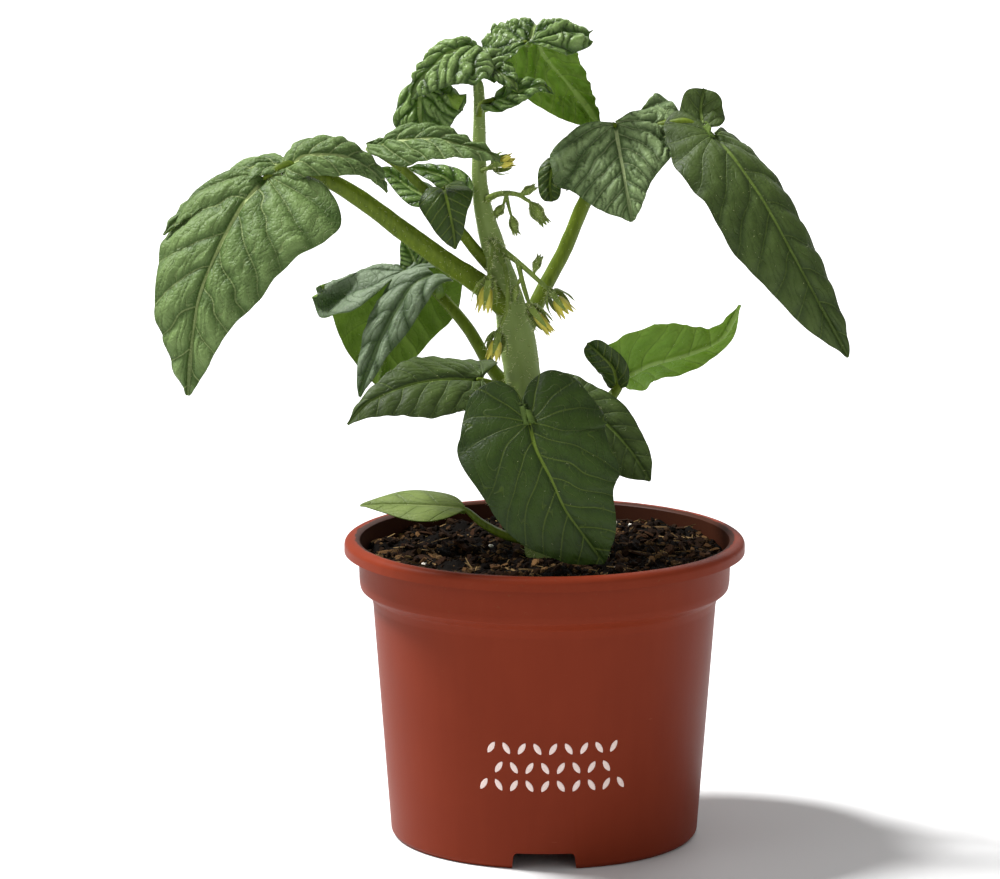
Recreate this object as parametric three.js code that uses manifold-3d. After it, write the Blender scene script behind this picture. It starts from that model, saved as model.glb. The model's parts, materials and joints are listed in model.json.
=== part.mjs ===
// A young tomato plant in a 12 cm nursery pot. Millimetres, +Z up.
// The origin is on the pot's axis, at the surface that the pot stands on.
// +X is to the right and +Y away from the side that the plant is usually seen from.

import * as THREE from "three";
import { mergeVertices } from "three/addons/utils/BufferGeometryUtils.js";
import Module from "manifold-3d";

const wasm = await Module();
wasm.setup();

// Driving dimensions of the pot
const rimRadius = 60;
const rimTop = 90.7;
const collarRadius = 55.8;
const collarFoot = 74.8;
const baseRadius = 46.1;
const wallSlope = 0.075;
const wall = 1;
const floorTop = 6.4;
const footRadius = 15;
const notchCount = 3;
const notchHeight = 5;
const notchWidth = 18;
const drainCount = 6;
const drainRadius = 3.5;
const drainCircle = 34;
const potSides = 30;

// Driving dimensions of the soil and the plant
const clearance = 0.3;
const soilLevel = 85;
const stemFoot = 70;
const stemRadius = 5.5;
const bladeThickness = 0.7;
const keelHeight = 1.1;
const keelHalfWidth = 1.2;
const smallestDetail = 0.02;
const weldDistance = 1e-4;

// Colours and finishes
const potPlastic = finish(0x82402c, 0.55);
const soilCrumbs = finish(0x2d2016, 1);
const stemSkin = finish(0x6e823c, 0.7);
const leafGreen = finish(0x55784b, 0.65);
const youngGreen = finish(0x64873f, 0.65);
const calyxGreen = finish(0x4c6433, 0.75);
const petalYellow = finish(0xc8a532, 0.6);

function finish(colour, roughness) {
  return new THREE.MeshStandardMaterial({ color: colour, roughness, metalness: 0 });
}

// Solids

function solidFromGeometry(geometry) {
  const bare = geometry.clone();
  bare.deleteAttribute("normal");
  bare.deleteAttribute("uv");
  const merged = mergeVertices(bare, weldDistance);
  const corners = Array.from(merged.index.array);
  const triangles = [];
  for (let i = 0; i < corners.length; i += 3) {
    const [a, b, c] = corners.slice(i, i + 3);
    if (a !== b && b !== c && c !== a) triangles.push(a, b, c);
  }
  return solidFromLists(Array.from(merged.attributes.position.array), triangles);
}

function signedVolume(points, triangles) {
  const corner = (i) => new THREE.Vector3(...points.slice(3 * i, 3 * i + 3));
  let total = 0;
  for (let i = 0; i < triangles.length; i += 3) {
    const [a, b, c] = triangles.slice(i, i + 3).map(corner);
    total += a.dot(b.cross(c)) / 6;
  }
  return total;
}

function solidFromLists(points, triangles) {
  const faces = triangles.slice();
  if (signedVolume(points, faces) < 0) faces.reverse();
  return new wasm.Manifold(new wasm.Mesh({
    numProp: 3,
    vertProperties: new Float32Array(points),
    triVerts: new Uint32Array(faces),
  }));
}

function fuse(solids) {
  return solids.reduce((whole, solid) => whole.add(solid));
}

// The outer body alone: hollows that joining sealed are filled, and loose scraps are dropped.
function largestPiece(solid) {
  const pieces = solid.decompose();
  return pieces.reduce((best, piece) => (piece.volume() > best.volume() ? piece : best));
}

function part(name, solid, material) {
  const body = largestPiece(solid.simplify(smallestDetail));
  const { vertProperties, triVerts, numProp } = body.getMesh();
  const geometry = new THREE.BufferGeometry();
  const corners = [];
  for (let i = 0; i < vertProperties.length; i += numProp) {
    corners.push(...vertProperties.slice(i, i + 3));
  }
  geometry.setAttribute("position", new THREE.Float32BufferAttribute(corners, 3));
  geometry.setIndex(Array.from(triVerts));
  geometry.computeVertexNormals();
  const mesh = new THREE.Mesh(geometry, material);
  mesh.name = name;
  return mesh;
}

function vector([x, y, z]) {
  return new THREE.Vector3(x, y, z);
}

function curveThrough(points) {
  return new THREE.CatmullRomCurve3(points.map(vector), false, "catmullrom");
}

// A round stalk through points [x, y, z, radius], with a slightly domed end at each side.
function stalk(points, sides = 6, steps = 1, extra = 0) {
  const curve = curveThrough(points);
  const rings = (points.length - 1) * steps;
  const corners = [];
  const faces = [];
  let across = new THREE.Vector3(1, 0.2, 0.1);
  for (let i = 0; i <= rings; i += 1) {
    const at = i / rings;
    const centre = curve.getPoint(at);
    const tangent = curve.getTangent(at);
    across = across.clone().addScaledVector(tangent, -across.dot(tangent)).normalize();
    const side = tangent.clone().cross(across);
    const span = Math.min(Math.floor(i / steps), points.length - 2);
    const within = i / steps - span;
    const radius = THREE.MathUtils.lerp(points[span][3], points[span + 1][3], within) + extra;
    for (let j = 0; j < sides; j += 1) {
      const turn = (2 * Math.PI * j) / sides;
      const corner = centre.clone()
        .addScaledVector(across, radius * Math.cos(turn))
        .addScaledVector(side, radius * Math.sin(turn));
      corners.push(...corner.toArray());
    }
  }
  for (let i = 0; i < rings; i += 1) {
    for (let j = 0; j < sides; j += 1) {
      const a = i * sides + j;
      const b = i * sides + ((j + 1) % sides);
      faces.push(a, b, a + sides, b, b + sides, a + sides);
    }
  }
  const firstTip = corners.length / 3;
  const dome = 0.35;
  const startReach = dome * points[0][3] + extra;
  const endReach = dome * points[points.length - 1][3] + extra;
  corners.push(...curve.getPoint(0).addScaledVector(curve.getTangent(0), -startReach).toArray());
  corners.push(...curve.getPoint(1).addScaledVector(curve.getTangent(1), endReach).toArray());
  for (let j = 0; j < sides; j += 1) {
    const next = (j + 1) % sides;
    faces.push(firstTip, next, j);
    faces.push(firstTip + 1, rings * sides + j, rings * sides + next);
  }
  return solidFromLists(corners, faces);
}

// Leaflet outlines. Row by row from the base to the tip: where the row leaves the rib, as a
// share of the rib's length, and where it meets each margin, as a share of the rib's length
// along it and of the half width across it.
const rowsOnRib = [0, 0.04, 0.1, 0.2, 0.33, 0.48, 0.64, 0.82, 1];
const margins = {
  shoulder: [[0, 0.03], [-0.12, 0.35], [-0.2, 0.75], [-0.03, 0.97], [0.2, 1], [0.44, 0.74],
    [0.68, 0.44], [0.87, 0.2], [1, 0.02]],
  heart: [[0, 0.03], [-0.2, 0.05], [-0.31, 0.4], [-0.18, 0.83], [0.08, 1], [0.36, 0.95],
    [0.63, 0.74], [0.86, 0.4], [1, 0.02]],
  late: [[0, 0.03], [0.03, 0.26], [0.1, 0.48], [0.22, 0.72], [0.38, 0.92], [0.58, 1],
    [0.77, 0.8], [0.92, 0.4], [1, 0.02]],
  early: [[0, 0.03], [-0.02, 0.45], [0.02, 0.8], [0.12, 1], [0.26, 0.94], [0.42, 0.72],
    [0.62, 0.46], [0.84, 0.24], [1, 0.02]],
  crest: [[0, 0.03], [-0.16, 0.35], [-0.36, 0.72], [-0.19, 0.97], [0.12, 0.98], [0.4, 0.68],
    [0.66, 0.38], [0.87, 0.17], [1, 0.02]],
  broad: [[0, 0.03], [-0.1, 0.06], [-0.17, 0.35], [-0.1, 0.75], [0.07, 0.98], [0.3, 1],
    [0.54, 0.84], [0.8, 0.45], [1, 0.02]],
  wing: [[0, 0.03], [-0.1, 0.3], [-0.18, 0.68], [-0.05, 0.98], [0.16, 1.04], [0.3, 0.86],
    [0.5, 0.7], [0.8, 0.36], [1, 0.02]],
  draped: [[0, 0.03], [-0.14, 0.3], [-0.26, 0.75], [-0.12, 1.05], [0.1, 0.95], [0.42, 1],
    [0.68, 0.85], [0.9, 0.42], [1, 0.02]],
  oval: [[0, 0.03], [0, 0.42], [0.03, 0.72], [0.12, 0.94], [0.3, 1], [0.55, 0.99],
    [0.8, 0.86], [0.96, 0.52], [1, 0.02]],
  egg: [[0, 0.03], [-0.03, 0.36], [0, 0.66], [0.1, 0.9], [0.26, 1], [0.46, 0.92],
    [0.67, 0.68], [0.87, 0.34], [1, 0.02]],
  lance: [[0, 0.03], [0.08, 0.42], [0.18, 0.74], [0.31, 0.96], [0.45, 1], [0.6, 0.84],
    [0.76, 0.55], [0.9, 0.28], [1, 0.02]],
  slant: [[0, 0.03], [0.04, 0.46], [0.14, 0.84], [0.28, 1], [0.44, 0.96], [0.6, 0.8],
    [0.76, 0.55], [0.9, 0.28], [1, 0.02]],
  lobed: [[0, 0.03], [-0.1, 0.4], [-0.06, 0.9], [0.12, 1.1], [0.24, 0.9], [0.46, 0.74],
    [0.68, 0.46], [0.88, 0.2], [1, 0.02]],
};

function outlineRow(shape, at) {
  const rows = margins[shape].map(([along, across], i) => [rowsOnRib[i], along, across]);
  return curveThrough(rows).getPoint(at);
}

// The rib of a leaflet, with the direction its top faces at each place along it. Places before
// the base or past the tip lie on the straight line that carries the rib on.
function ribFrame(curve, faces, place) {
  const inside = THREE.MathUtils.clamp(place, 0, 1);
  const tangent = curve.getTangentAt(inside);
  const point = curve.getPointAt(inside);
  point.addScaledVector(tangent, (place - inside) * curve.getLength());
  const last = faces.length - 1;
  const span = Math.min(Math.floor(inside * last), last - 1);
  const up = vector(faces[span]).lerp(vector(faces[span + 1]), inside * last - span);
  up.addScaledVector(tangent, -up.dot(tangent)).normalize();
  const side = tangent.clone().cross(up);
  return { point, up, side };
}

// A point of a leaflet's top: at is the row from base to tip, share the way out from the rib,
// positive on the right as seen from above with the tip ahead.
function leafletPoint(leaflet, curve, at, share) {
  const right = share >= 0 ? 0 : 1;
  const out = Math.abs(share);
  const row = outlineRow(leaflet.shape[right], at);
  const swell = Math.sin(Math.PI * leaflet.veins * at) ** 2;
  const half = leaflet.half[right];
  const reach = half * row.z * out * (1 + leaflet.scallop * (swell - 0.5) * out * out);
  const place = row.x + (row.y - row.x) * out;
  const fold = THREE.MathUtils.degToRad(leaflet.fold[right]);
  const bend = THREE.MathUtils.degToRad(leaflet.curl[right]) / half;
  const level = (Math.cos(fold - bend * reach) - Math.cos(fold)) / bend;
  const width = (Math.sin(fold) - Math.sin(fold - bend * reach)) / bend;
  const wave = leaflet.wave * out * out * Math.sin(leaflet.waves * at * Math.PI + right * 2);
  const puff = leaflet.puff * swell * Math.sin(Math.PI * Math.min(out * 1.15, 1));
  const frame = ribFrame(curve, leaflet.face, place);
  return frame.point
    .addScaledVector(frame.side, (right === 0 ? 1 : -1) * width)
    .addScaledVector(frame.up, level + wave + puff);
}

// A thin waved leaflet, with its rib standing out as a keel below. The rows run to the margins
// like the side veins, and both faces are split into triangles alike.
function blade(given) {
  const leaflet = {
    fold: [12, 12], curl: [35, 35], wave: 0.8, waves: 4, puff: 0.7, scallop: 0.08, veins: 4,
    shares: [0, 0.1, 0.55, 1], ...given,
  };
  const curve = curveThrough(leaflet.rib);
  const rows = leaflet.veins * 2;
  const outward = leaflet.shares;
  const middle = outward.length - 1;
  const columns = 2 * middle + 1;
  const top = [];
  for (let i = 0; i <= rows; i += 1) {
    const at = i / rows;
    for (let j = 0; j < columns; j += 1) {
      const sign = j < middle ? -1 : 1;
      const step = Math.abs(j - middle);
      let share = outward[step];
      if (step === 1) {
        const right = sign > 0 ? 0 : 1;
        const margin = leaflet.half[right] * outlineRow(leaflet.shape[right], at).z;
        share = Math.min(share + keelHalfWidth / margin, 0.4);
      }
      top.push(leafletPoint(leaflet, curve, at, sign * share));
    }
  }
  const grid = (i, j) => top[i * columns + j];
  const bottom = [];
  for (let i = 0; i <= rows; i += 1) {
    for (let j = 0; j < columns; j += 1) {
      const ahead = grid(Math.min(i + 1, rows), j).clone().sub(grid(Math.max(i - 1, 0), j));
      const sideways = grid(i, Math.min(j + 1, columns - 1)).clone()
        .sub(grid(i, Math.max(j - 1, 0)));
      const normal = ahead.cross(sideways).normalize();
      const keel = j === middle ? keelHeight * (1 - i / rows) * Math.min(1, i / 2) : 0;
      bottom.push(grid(i, j).clone().addScaledVector(normal, bladeThickness + keel));
    }
  }
  const corners = [...top, ...bottom].flatMap((corner) => corner.toArray());
  const under = top.length;
  const faces = [];
  for (let i = 0; i < rows; i += 1) {
    for (let j = 0; j < columns - 1; j += 1) {
      const a = i * columns + j;
      const c = a + columns;
      faces.push(a, a + 1, c, a + 1, c + 1, c);
      faces.push(under + a, under + c, under + a + 1, under + a + 1, under + c, under + c + 1);
    }
  }
  const rim = [];
  for (let j = 0; j < columns; j += 1) rim.push(j);
  for (let i = 1; i <= rows; i += 1) rim.push(i * columns + columns - 1);
  for (let j = columns - 2; j >= 0; j -= 1) rim.push(rows * columns + j);
  for (let i = rows - 1; i > 0; i -= 1) rim.push(i * columns);
  rim.forEach((a, i) => {
    const b = rim[(i + 1) % rim.length];
    faces.push(a, under + a, b, b, under + a, under + b);
  });
  return solidFromLists(corners, faces);
}

function smallBlade(leaflet) {
  return blade({ veins: 3, shares: [0, 0.1, 1], wave: 0.4, puff: 0.5, waves: 3, ...leaflet });
}

// A narrow strap through points, flat above and ridged below: a sepal or a petal.
function strap(points, halfWidth, acrossVector, widths = [0.5, 1, 0.8, 0.2]) {
  const curve = curveThrough(points);
  const above = 0.25;
  const below = 0.5;
  const corners = [];
  const faces = [];
  widths.forEach((width, i) => {
    const at = i / (widths.length - 1);
    const centre = curve.getPointAt(at);
    const tangent = curve.getTangentAt(at);
    const across = acrossVector.clone().addScaledVector(tangent, -acrossVector.dot(tangent));
    across.normalize();
    const up = tangent.clone().cross(across);
    const reach = Math.max(halfWidth * width, 0.35);
    centre.addScaledVector(up, above);
    corners.push(...centre.clone().addScaledVector(across, reach).toArray());
    corners.push(...centre.clone().addScaledVector(across, -reach).toArray());
    corners.push(...centre.clone().addScaledVector(up, -above - below).toArray());
  });
  const last = widths.length - 1;
  for (let i = 0; i < last; i += 1) {
    for (let j = 0; j < 3; j += 1) {
      const a = 3 * i + j;
      const b = 3 * i + ((j + 1) % 3);
      faces.push(a, b, a + 3, b, b + 3, a + 3);
    }
  }
  faces.push(0, 2, 1);
  faces.push(3 * last, 3 * last + 1, 3 * last + 2);
  return solidFromLists(corners, faces);
}

// Two directions square to an axis
function squareTo(axis) {
  const first = new THREE.Vector3(0, -1, 0.15);
  first.addScaledVector(axis, -first.dot(axis)).normalize();
  return [first, axis.clone().cross(first)];
}

// A ring of narrow leaves round a flower's axis. Each profile point is [out, ahead].
function whorl(at, toward, profile, count, halfWidth, turned = 0, widths = undefined) {
  const centre = vector(at);
  const axis = vector(toward).sub(centre).normalize();
  const [first, second] = squareTo(axis);
  const straps = [];
  for (let k = 0; k < count; k += 1) {
    const turn = (2 * Math.PI * (k + turned)) / count;
    const out = first.clone().multiplyScalar(Math.cos(turn));
    out.addScaledVector(second, Math.sin(turn));
    const points = profile.map(([away, ahead]) => centre.clone()
      .addScaledVector(out, away).addScaledVector(axis, ahead).toArray());
    straps.push(strap(points, halfWidth, axis.clone().cross(out), widths));
  }
  return straps;
}

function along(at, toward, distance) {
  const axis = vector(toward).sub(vector(at)).normalize();
  return vector(at).addScaledVector(axis, distance).toArray();
}

const receptacleRadius = 1.3;

// The green part of an open flower: the knob at the stalk's end and five sepals that lie
// round the petals.
function calyx({ at, toward, size, spread }) {
  const knob = stalk([
    [...along(at, toward, -receptacleRadius), 0.6],
    [...at, receptacleRadius],
    [...along(at, toward, 0.6), 1],
  ], 6, 1);
  const profile = [[0.3, 0], [2.1, 0.8 * size], [1.7 + spread * 0.75, 4.4 * size],
    [1.5 + spread, 8 * size]];
  return fuse([knob, ...whorl(at, toward, profile, 5, 1.1)]);
}

// The yellow part: five petals round a pointed cone of anthers.
function corolla({ at, toward, size, spread }) {
  const start = receptacleRadius + clearance + 0.2;
  const cone = stalk([
    [...along(at, toward, start), 0.9],
    [...along(at, toward, start + 5 * size), 0.8],
    [...along(at, toward, start + 7.4 * size), 0.4],
  ], 5, 1);
  const profile = [[0.4, start + 0.5], [0.8 + spread * 0.35, start + 1.8 * size],
    [0.4 + spread * 0.75, start + 5.2 * size], [spread, start + 8.6 * size]];
  return fuse([cone, ...whorl(at, toward, profile, 5, 1.15, 0.5)]);
}

// A closed bud on its own short stalk, with its sepal tips standing out at the end.
function bud({ stalkPoints, at, toward, length, radius }) {
  const body = stalk([
    [...along(at, toward, -0.6), 0.5],
    [...along(at, toward, 0.18 * length), 0.85 * radius],
    [...along(at, toward, 0.5 * length), radius],
    [...along(at, toward, 0.85 * length), 0.5 * radius],
    [...along(at, toward, length), 0.3],
  ], 7, 1);
  const profile = [[0.6 * radius, 0.6 * length], [0.75 * radius, 0.9 * length],
    [1.1 * radius, 1.18 * length]];
  const tips = whorl(at, toward, profile, 3, 0.5, 0, [0.8, 1, 0.4]);
  return fuse([stalk([...stalkPoints, [...at, 0.5]], 5, 1), body, ...tips]);
}

// Pot

function potProfile() {
  const bodyRadius = (z) => baseRadius + wallSlope * z;
  const underFloor = floorTop - wall;
  const lip = { x: 57.4, z: rimTop - 2.1, halfWidth: rimRadius - 57.4, halfHeight: 2.1 };
  const lipArc = (turn, inset) => [
    lip.x + (lip.halfWidth - inset) * Math.cos(turn),
    lip.z + (lip.halfHeight - inset) * Math.sin(turn),
  ];
  const outside = [
    [0, 0], [footRadius, 0], [footRadius + 4, underFloor], [43.5, underFloor], [43.8, 0.4],
    [44.2, 0], [45.2, 0], [bodyRadius(1.2), 1.2], [bodyRadius(collarFoot - 4), collarFoot - 4],
    [bodyRadius(collarFoot) + 0.4, collarFoot - 1.4], [collarRadius - 2, collarFoot - 0.1],
    [collarRadius - 0.6, collarFoot + 1], [collarRadius - 0.3, collarFoot + 3],
    [lip.x - 1.6, lip.z - 1.2],
  ];
  const lipSteps = [0.7, 0.4, 0.1];
  const hook = [
    ...lipSteps.map((turn) => lipArc(turn * Math.PI, wall)),
    [rimRadius - wall, lip.z - 2], [rimRadius, lip.z - 2],
    ...[0, 0.25, 0.5, 0.78].map((turn) => lipArc(turn * Math.PI, 0)),
  ];
  const inside = [
    [collarRadius - wall - 0.3, collarFoot + 2], [collarRadius - wall - 1.6, collarFoot + 0.9],
    [bodyRadius(73) - wall + 0.4, collarFoot - 0.8],
    [bodyRadius(70) - wall, collarFoot - 4.6], [bodyRadius(floorTop + 1.4) - wall, floorTop + 1.4],
    [bodyRadius(floorTop) - wall - 1.2, floorTop], [footRadius + 3.4, floorTop],
    [footRadius - 0.6, wall], [0, wall],
  ];
  return [...outside, ...hook, ...inside].map(([r, z]) => new THREE.Vector2(r, z));
}

function turned(profile, sides) {
  const geometry = new THREE.LatheGeometry(profile, sides);
  geometry.rotateX(Math.PI / 2);
  return solidFromGeometry(geometry);
}

// A gap in the standing ring, slightly wider below, where water runs out
function notch(index) {
  const half = notchWidth / 2;
  const outline = new THREE.Shape([
    new THREE.Vector2(-half - 0.6, -1), new THREE.Vector2(half + 0.6, -1),
    new THREE.Vector2(half, notchHeight), new THREE.Vector2(-half, notchHeight),
  ]);
  const geometry = new THREE.ExtrudeGeometry(outline, { depth: 10, bevelEnabled: false });
  geometry.rotateX(Math.PI / 2);
  geometry.translate(0, -40, 0);
  geometry.rotateZ((2 * Math.PI * index) / notchCount);
  return solidFromGeometry(geometry);
}

function drainHole(index) {
  const height = 4 * wall;
  const geometry = new THREE.CylinderGeometry(drainRadius, drainRadius, height, 12);
  geometry.rotateX(Math.PI / 2);
  geometry.translate(drainCircle, 0, floorTop - wall / 2);
  geometry.rotateZ((2 * Math.PI * (index + 0.25)) / drainCount);
  return solidFromGeometry(geometry);
}

function pot() {
  let body = turned(potProfile(), potSides);
  for (let i = 0; i < notchCount; i += 1) body = body.subtract(notch(i));
  for (let i = 0; i < drainCount; i += 1) body = body.subtract(drainHole(i));
  return body;
}

// Soil: a filling with crumbs and a mound at the back right
function soilHeight(x, y) {
  const mound = 2.6 * Math.exp(-((x - 28) ** 2 + (y - 22) ** 2) / 420);
  const dip = 1.2 * Math.exp(-((x + 26) ** 2 + (y + 14) ** 2) / 300);
  const crumbs = 0.7 * Math.sin(0.31 * x + 0.23 * y) + 0.6 * Math.cos(0.19 * x - 0.37 * y + 2)
    + 0.5 * Math.sin(0.74 * x + 1.1) * Math.cos(0.63 * y);
  return soilLevel + mound - dip + crumbs;
}

function soil() {
  const innerRadius = (z) => baseRadius + wallSlope * z - wall - clearance;
  const topRadius = collarRadius - wall - clearance - 0.2;
  const rings = [54.3, 48, 40, 31, 21, 10];
  const profile = [
    [0, wall + clearance], [footRadius - 1.2, wall + clearance],
    [footRadius + 2.6, floorTop + clearance], [innerRadius(floorTop) - 1.5, floorTop + clearance],
    [innerRadius(floorTop + 1.6) - 0.1, floorTop + 1.8], [innerRadius(70) - 0.1, 70.4],
    [innerRadius(72.5), collarFoot + 0.6], [topRadius - 1.6, collarFoot + 1.6],
    [topRadius, soilLevel - 2.5],
    ...rings.map((r) => [r, soilLevel]), [0, soilLevel],
  ].map(([r, z]) => new THREE.Vector2(r, z));
  const geometry = new THREE.LatheGeometry(profile, potSides);
  geometry.rotateX(Math.PI / 2);
  const spots = geometry.attributes.position;
  for (let i = 0; i < spots.count; i += 1) {
    if (spots.getZ(i) >= soilLevel - 0.01) {
      const [x, y] = [spots.getX(i), spots.getY(i)].map((value) => Math.round(value * 1e4) / 1e4);
      const rimFade = Math.hypot(x, y) > 52 ? 1 : 0;
      spots.setZ(i, soilHeight(x, y) - rimFade);
    }
  }
  return solidFromGeometry(geometry).subtract(stemSolid(clearance));
}

// Stem, thick below and leaning to the left as it rises
const stemPath = [
  [1, 0, stemFoot, stemRadius - 0.6], [0, 0, 83, stemRadius + 0.1], [-1.5, 0, 101.5, stemRadius],
  [-4.5, 0, 123, stemRadius - 0.1], [-6.5, 0, 138, stemRadius - 0.1],
  [-8.5, 0, 151.5, stemRadius - 0.2], [-10.5, 0, 161, 4.6], [-13.5, 0, 171.5, 3.9],
  [-16, 0, 180.5, 3.3], [-18.5, 0, 190.5, 2.6], [-19.5, 0, 199.5, 2.2], [-19.5, 1, 210, 1.9],
  [-19.5, 2, 221.5, 1.7], [-20, 3, 228, 1.6],
];

function stemSolid(extra = 0) {
  return stalk(stemPath, 10, 1, extra);
}

const stemCut = stemSolid(clearance);

// What grows from the stem starts inside it and is cut back to a seat just clear of its skin.
function grownFromStem(solids) {
  return largestPiece(fuse(solids).subtract(stemCut));
}

// The long leaf at the upper left: a drooping end leaflet and two side leaflets
function leafLeftHigh() {
  const petiole = stalk([
    [-9.5, 0, 158.5, 3.5], [-18.5, -4, 167, 3.1], [-31, -10, 176.5, 3], [-42.5, -16, 186, 2.8],
    [-54, -21, 195.5, 2.6], [-64, -25, 202, 2.2], [-74, -28, 206, 1.8], [-81.5, -31.5, 203, 1.1],
  ]);
  const end = blade({
    rib: [[-81, -31, 203.5], [-87.5, -37, 196.5], [-93.5, -42, 186], [-99.5, -46, 172],
      [-102, -48, 158], [-103.5, -47, 141.5]],
    face: [[-0.2, -0.7, 0.65], [-0.3, -0.9, 0.3], [-0.3, -0.95, 0]],
    half: [18, 26], shape: ["slant", "lobed"], fold: [8, 5], curl: [25, 30], veins: 5,
  });
  const near = smallBlade({
    rib: [[-75.5, -29, 206], [-69.5, -31, 210], [-58, -30, 209.8], [-50, -26, 205], [-45, -23, 198]],
    face: [[0, -0.6, 0.8], [0.2, -0.6, 0.75]],
    half: [8, 9.5], shape: ["egg", "egg"], curl: [50, 50], veins: 4,
  });
  const far = smallBlade({
    rib: [[-74.5, -27, 206.5], [-82.5, -26, 207.2], [-91, -27, 203], [-101, -30, 196],
      [-111, -36, 188]],
    face: [[0, -0.3, 1], [-0.5, -0.4, 0.8]],
    half: [7.5, 7.5], shape: ["egg", "egg"], curl: [45, 30], veins: 4,
  });
  return grownFromStem([petiole, end, near, far]);
}

// The leaf at the upper right: a long end leaflet, a heart-shaped one and two small ones
function leafRightHigh() {
  const petiole = stalk([
    [-8, 0, 149, 2.6], [-0.5, 6, 164.5, 2.3], [5.7, 9, 176, 2.2], [11.2, 11, 189, 2.1],
    [17, 9, 201.5, 2], [28, 5, 211, 1.9], [40, 2, 215.2, 1.5], [46, 0.8, 213.4, 1.2],
    [50.2, -1.5, 210.8, 0.9],
  ]);
  const end = blade({
    rib: [[49.9, -2, 212], [55.7, -8, 206], [64.5, -13, 193.6], [73.8, -17, 177],
      [83, -18, 160], [89.5, -17, 148]],
    face: [[0.2, -0.6, 0.75], [0.35, -0.9, 0.2], [0.3, -0.95, 0.1]],
    half: [17, 13], shape: ["broad", "egg"], fold: [5, 5], curl: [25, 70], veins: 5,
  });
  const heartStalk = stalk([[22, 7.5, 206, 1.3], [20.5, 5, 212, 1.1], [20.5, -0.5, 215, 0.9]], 6, 2);
  const heart = blade({
    rib: [[20.7, 0, 214.8], [21.6, -4.5, 209.5], [22.8, -10.5, 203.5], [24, -15, 196.5],
      [25.4, -17.5, 188.5]],
    face: [[0, -0.75, 0.65], [0, -0.9, 0.45], [0, -1, 0.1]],
    half: [22.5, 21], shape: ["egg", "crest"], fold: [6, 6], curl: [40, 40],
  });
  const curled = smallBlade({
    rib: [[46.6, 0.8, 213.6], [46, 4.5, 219], [47, 5, 224.8]],
    face: [[0, -0.9, 0.35], [0, -0.9, 0.35]], half: [7, 6.5], shape: ["oval", "oval"],
  });
  const innerStalk = stalk([[13.5, 10, 196, 1.1], [8.5, 8.5, 201.5, 0.9], [3.4, 7, 203, 0.8]], 5, 1);
  const inner = smallBlade({
    rib: [[3.6, 7, 203.2], [2, 5, 200.5], [1.4, 4, 196], [2, 3, 191.3]],
    face: [[-0.2, -0.7, 0.7], [0, -1, 0.1], [0, -1, 0]],
    half: [3.9, 3.7], shape: ["oval", "oval"],
  });
  return grownFromStem([petiole, end, heartStalk, heart, curled, innerStalk, inner]);
}

// The leaf at the middle left: a broad leaflet seen from below, a folded one and a small one
function leafLeftMid() {
  const petiole = stalk([
    [-6.5, 0, 130.5, 2.4], [-16, 5, 141, 1.9], [-22.5, 9, 151.5, 1.8], [-30, 13, 160, 1.7],
    [-36, 14.5, 166, 1.6], [-41.6, 14.5, 168.5, 1.1],
  ]);
  const broad = blade({
    rib: [[-41.5, 14, 168.5], [-43, 19, 170.4], [-44.6, 24, 165], [-47.5, 27, 152.3],
      [-49.3, 27, 141], [-50.2, 25.5, 131.5]],
    face: [[0, -0.5, 0.85], [0, 0.5, 0.8], [0, 0.95, 0.2], [0, 1, 0]],
    half: [21, 29], shape: ["egg", "wing"], fold: [5, 5], curl: [25, 45],
  });
  const foldedSideways = smallBlade({
    rib: [[-31.5, 13, 161.5], [-32.5, 8, 169], [-39.6, 5, 166.3], [-44.3, 3, 159.3],
      [-49.7, 1, 149.1], [-55.6, -1, 133.2]],
    face: [[0, 0, 1], [-0.3, -0.8, 0.5], [-0.4, -0.85, 0.2]],
    half: [9, 8], shape: ["lance", "lance"], fold: [15, 15], curl: [50, 50], veins: 4,
  });
  const small = smallBlade({
    rib: [[-38, 16, 167.5], [-40, 18, 173], [-43, 19, 178]],
    face: [[0, -0.9, 0.3], [0, -0.9, 0.3]], half: [4.6, 4.6], shape: ["egg", "egg"],
  });
  return grownFromStem([petiole, broad, foldedSideways, small]);
}

// The low leaf that reaches out to the left
function leafLeftLow() {
  const petiole = stalk([
    [-5.5, 0, 130, 2], [-13.5, -7, 137, 1.5], [-20, -12.5, 140.6, 1],
  ]);
  const end = blade({
    rib: [[-19, -12, 140.5], [-28.5, -18, 141.9], [-37.2, -23, 141.6], [-45.6, -26, 139.4],
      [-52.6, -28, 135.9], [-58, -29, 130.2]],
    face: [[0, -0.6, 0.8], [-0.3, -0.7, 0.6]],
    half: [12, 13.5], shape: ["shoulder", "egg"], fold: [15, 10], curl: [45, 40],
  });
  return grownFromStem([petiole, end]);
}

// The broad heart-shaped leaf that hangs over the front of the pot
function leafFrontLow() {
  const petiole = stalk([
    [-3.5, 0, 112.5, 2.1], [-3, -8, 124, 1.7], [-2.5, -19, 131.5, 1.4], [-4.4, -31.1, 130.9, 1.1],
  ]);
  const end = blade({
    rib: [[-4.5, -31, 131], [-2.5, -35, 124], [2, -38, 115.5], [6, -40, 107], [11, -41, 100],
      [17.5, -41, 91]],
    face: [[0, -0.8, 0.6], [0, -0.95, 0.25], [0, -1, 0.1]],
    half: [21.5, 22], shape: ["heart", "heart"], fold: [8, 8], curl: [22, 26],
    veins: 5,
  });
  return grownFromStem([petiole, end]);
}

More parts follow.
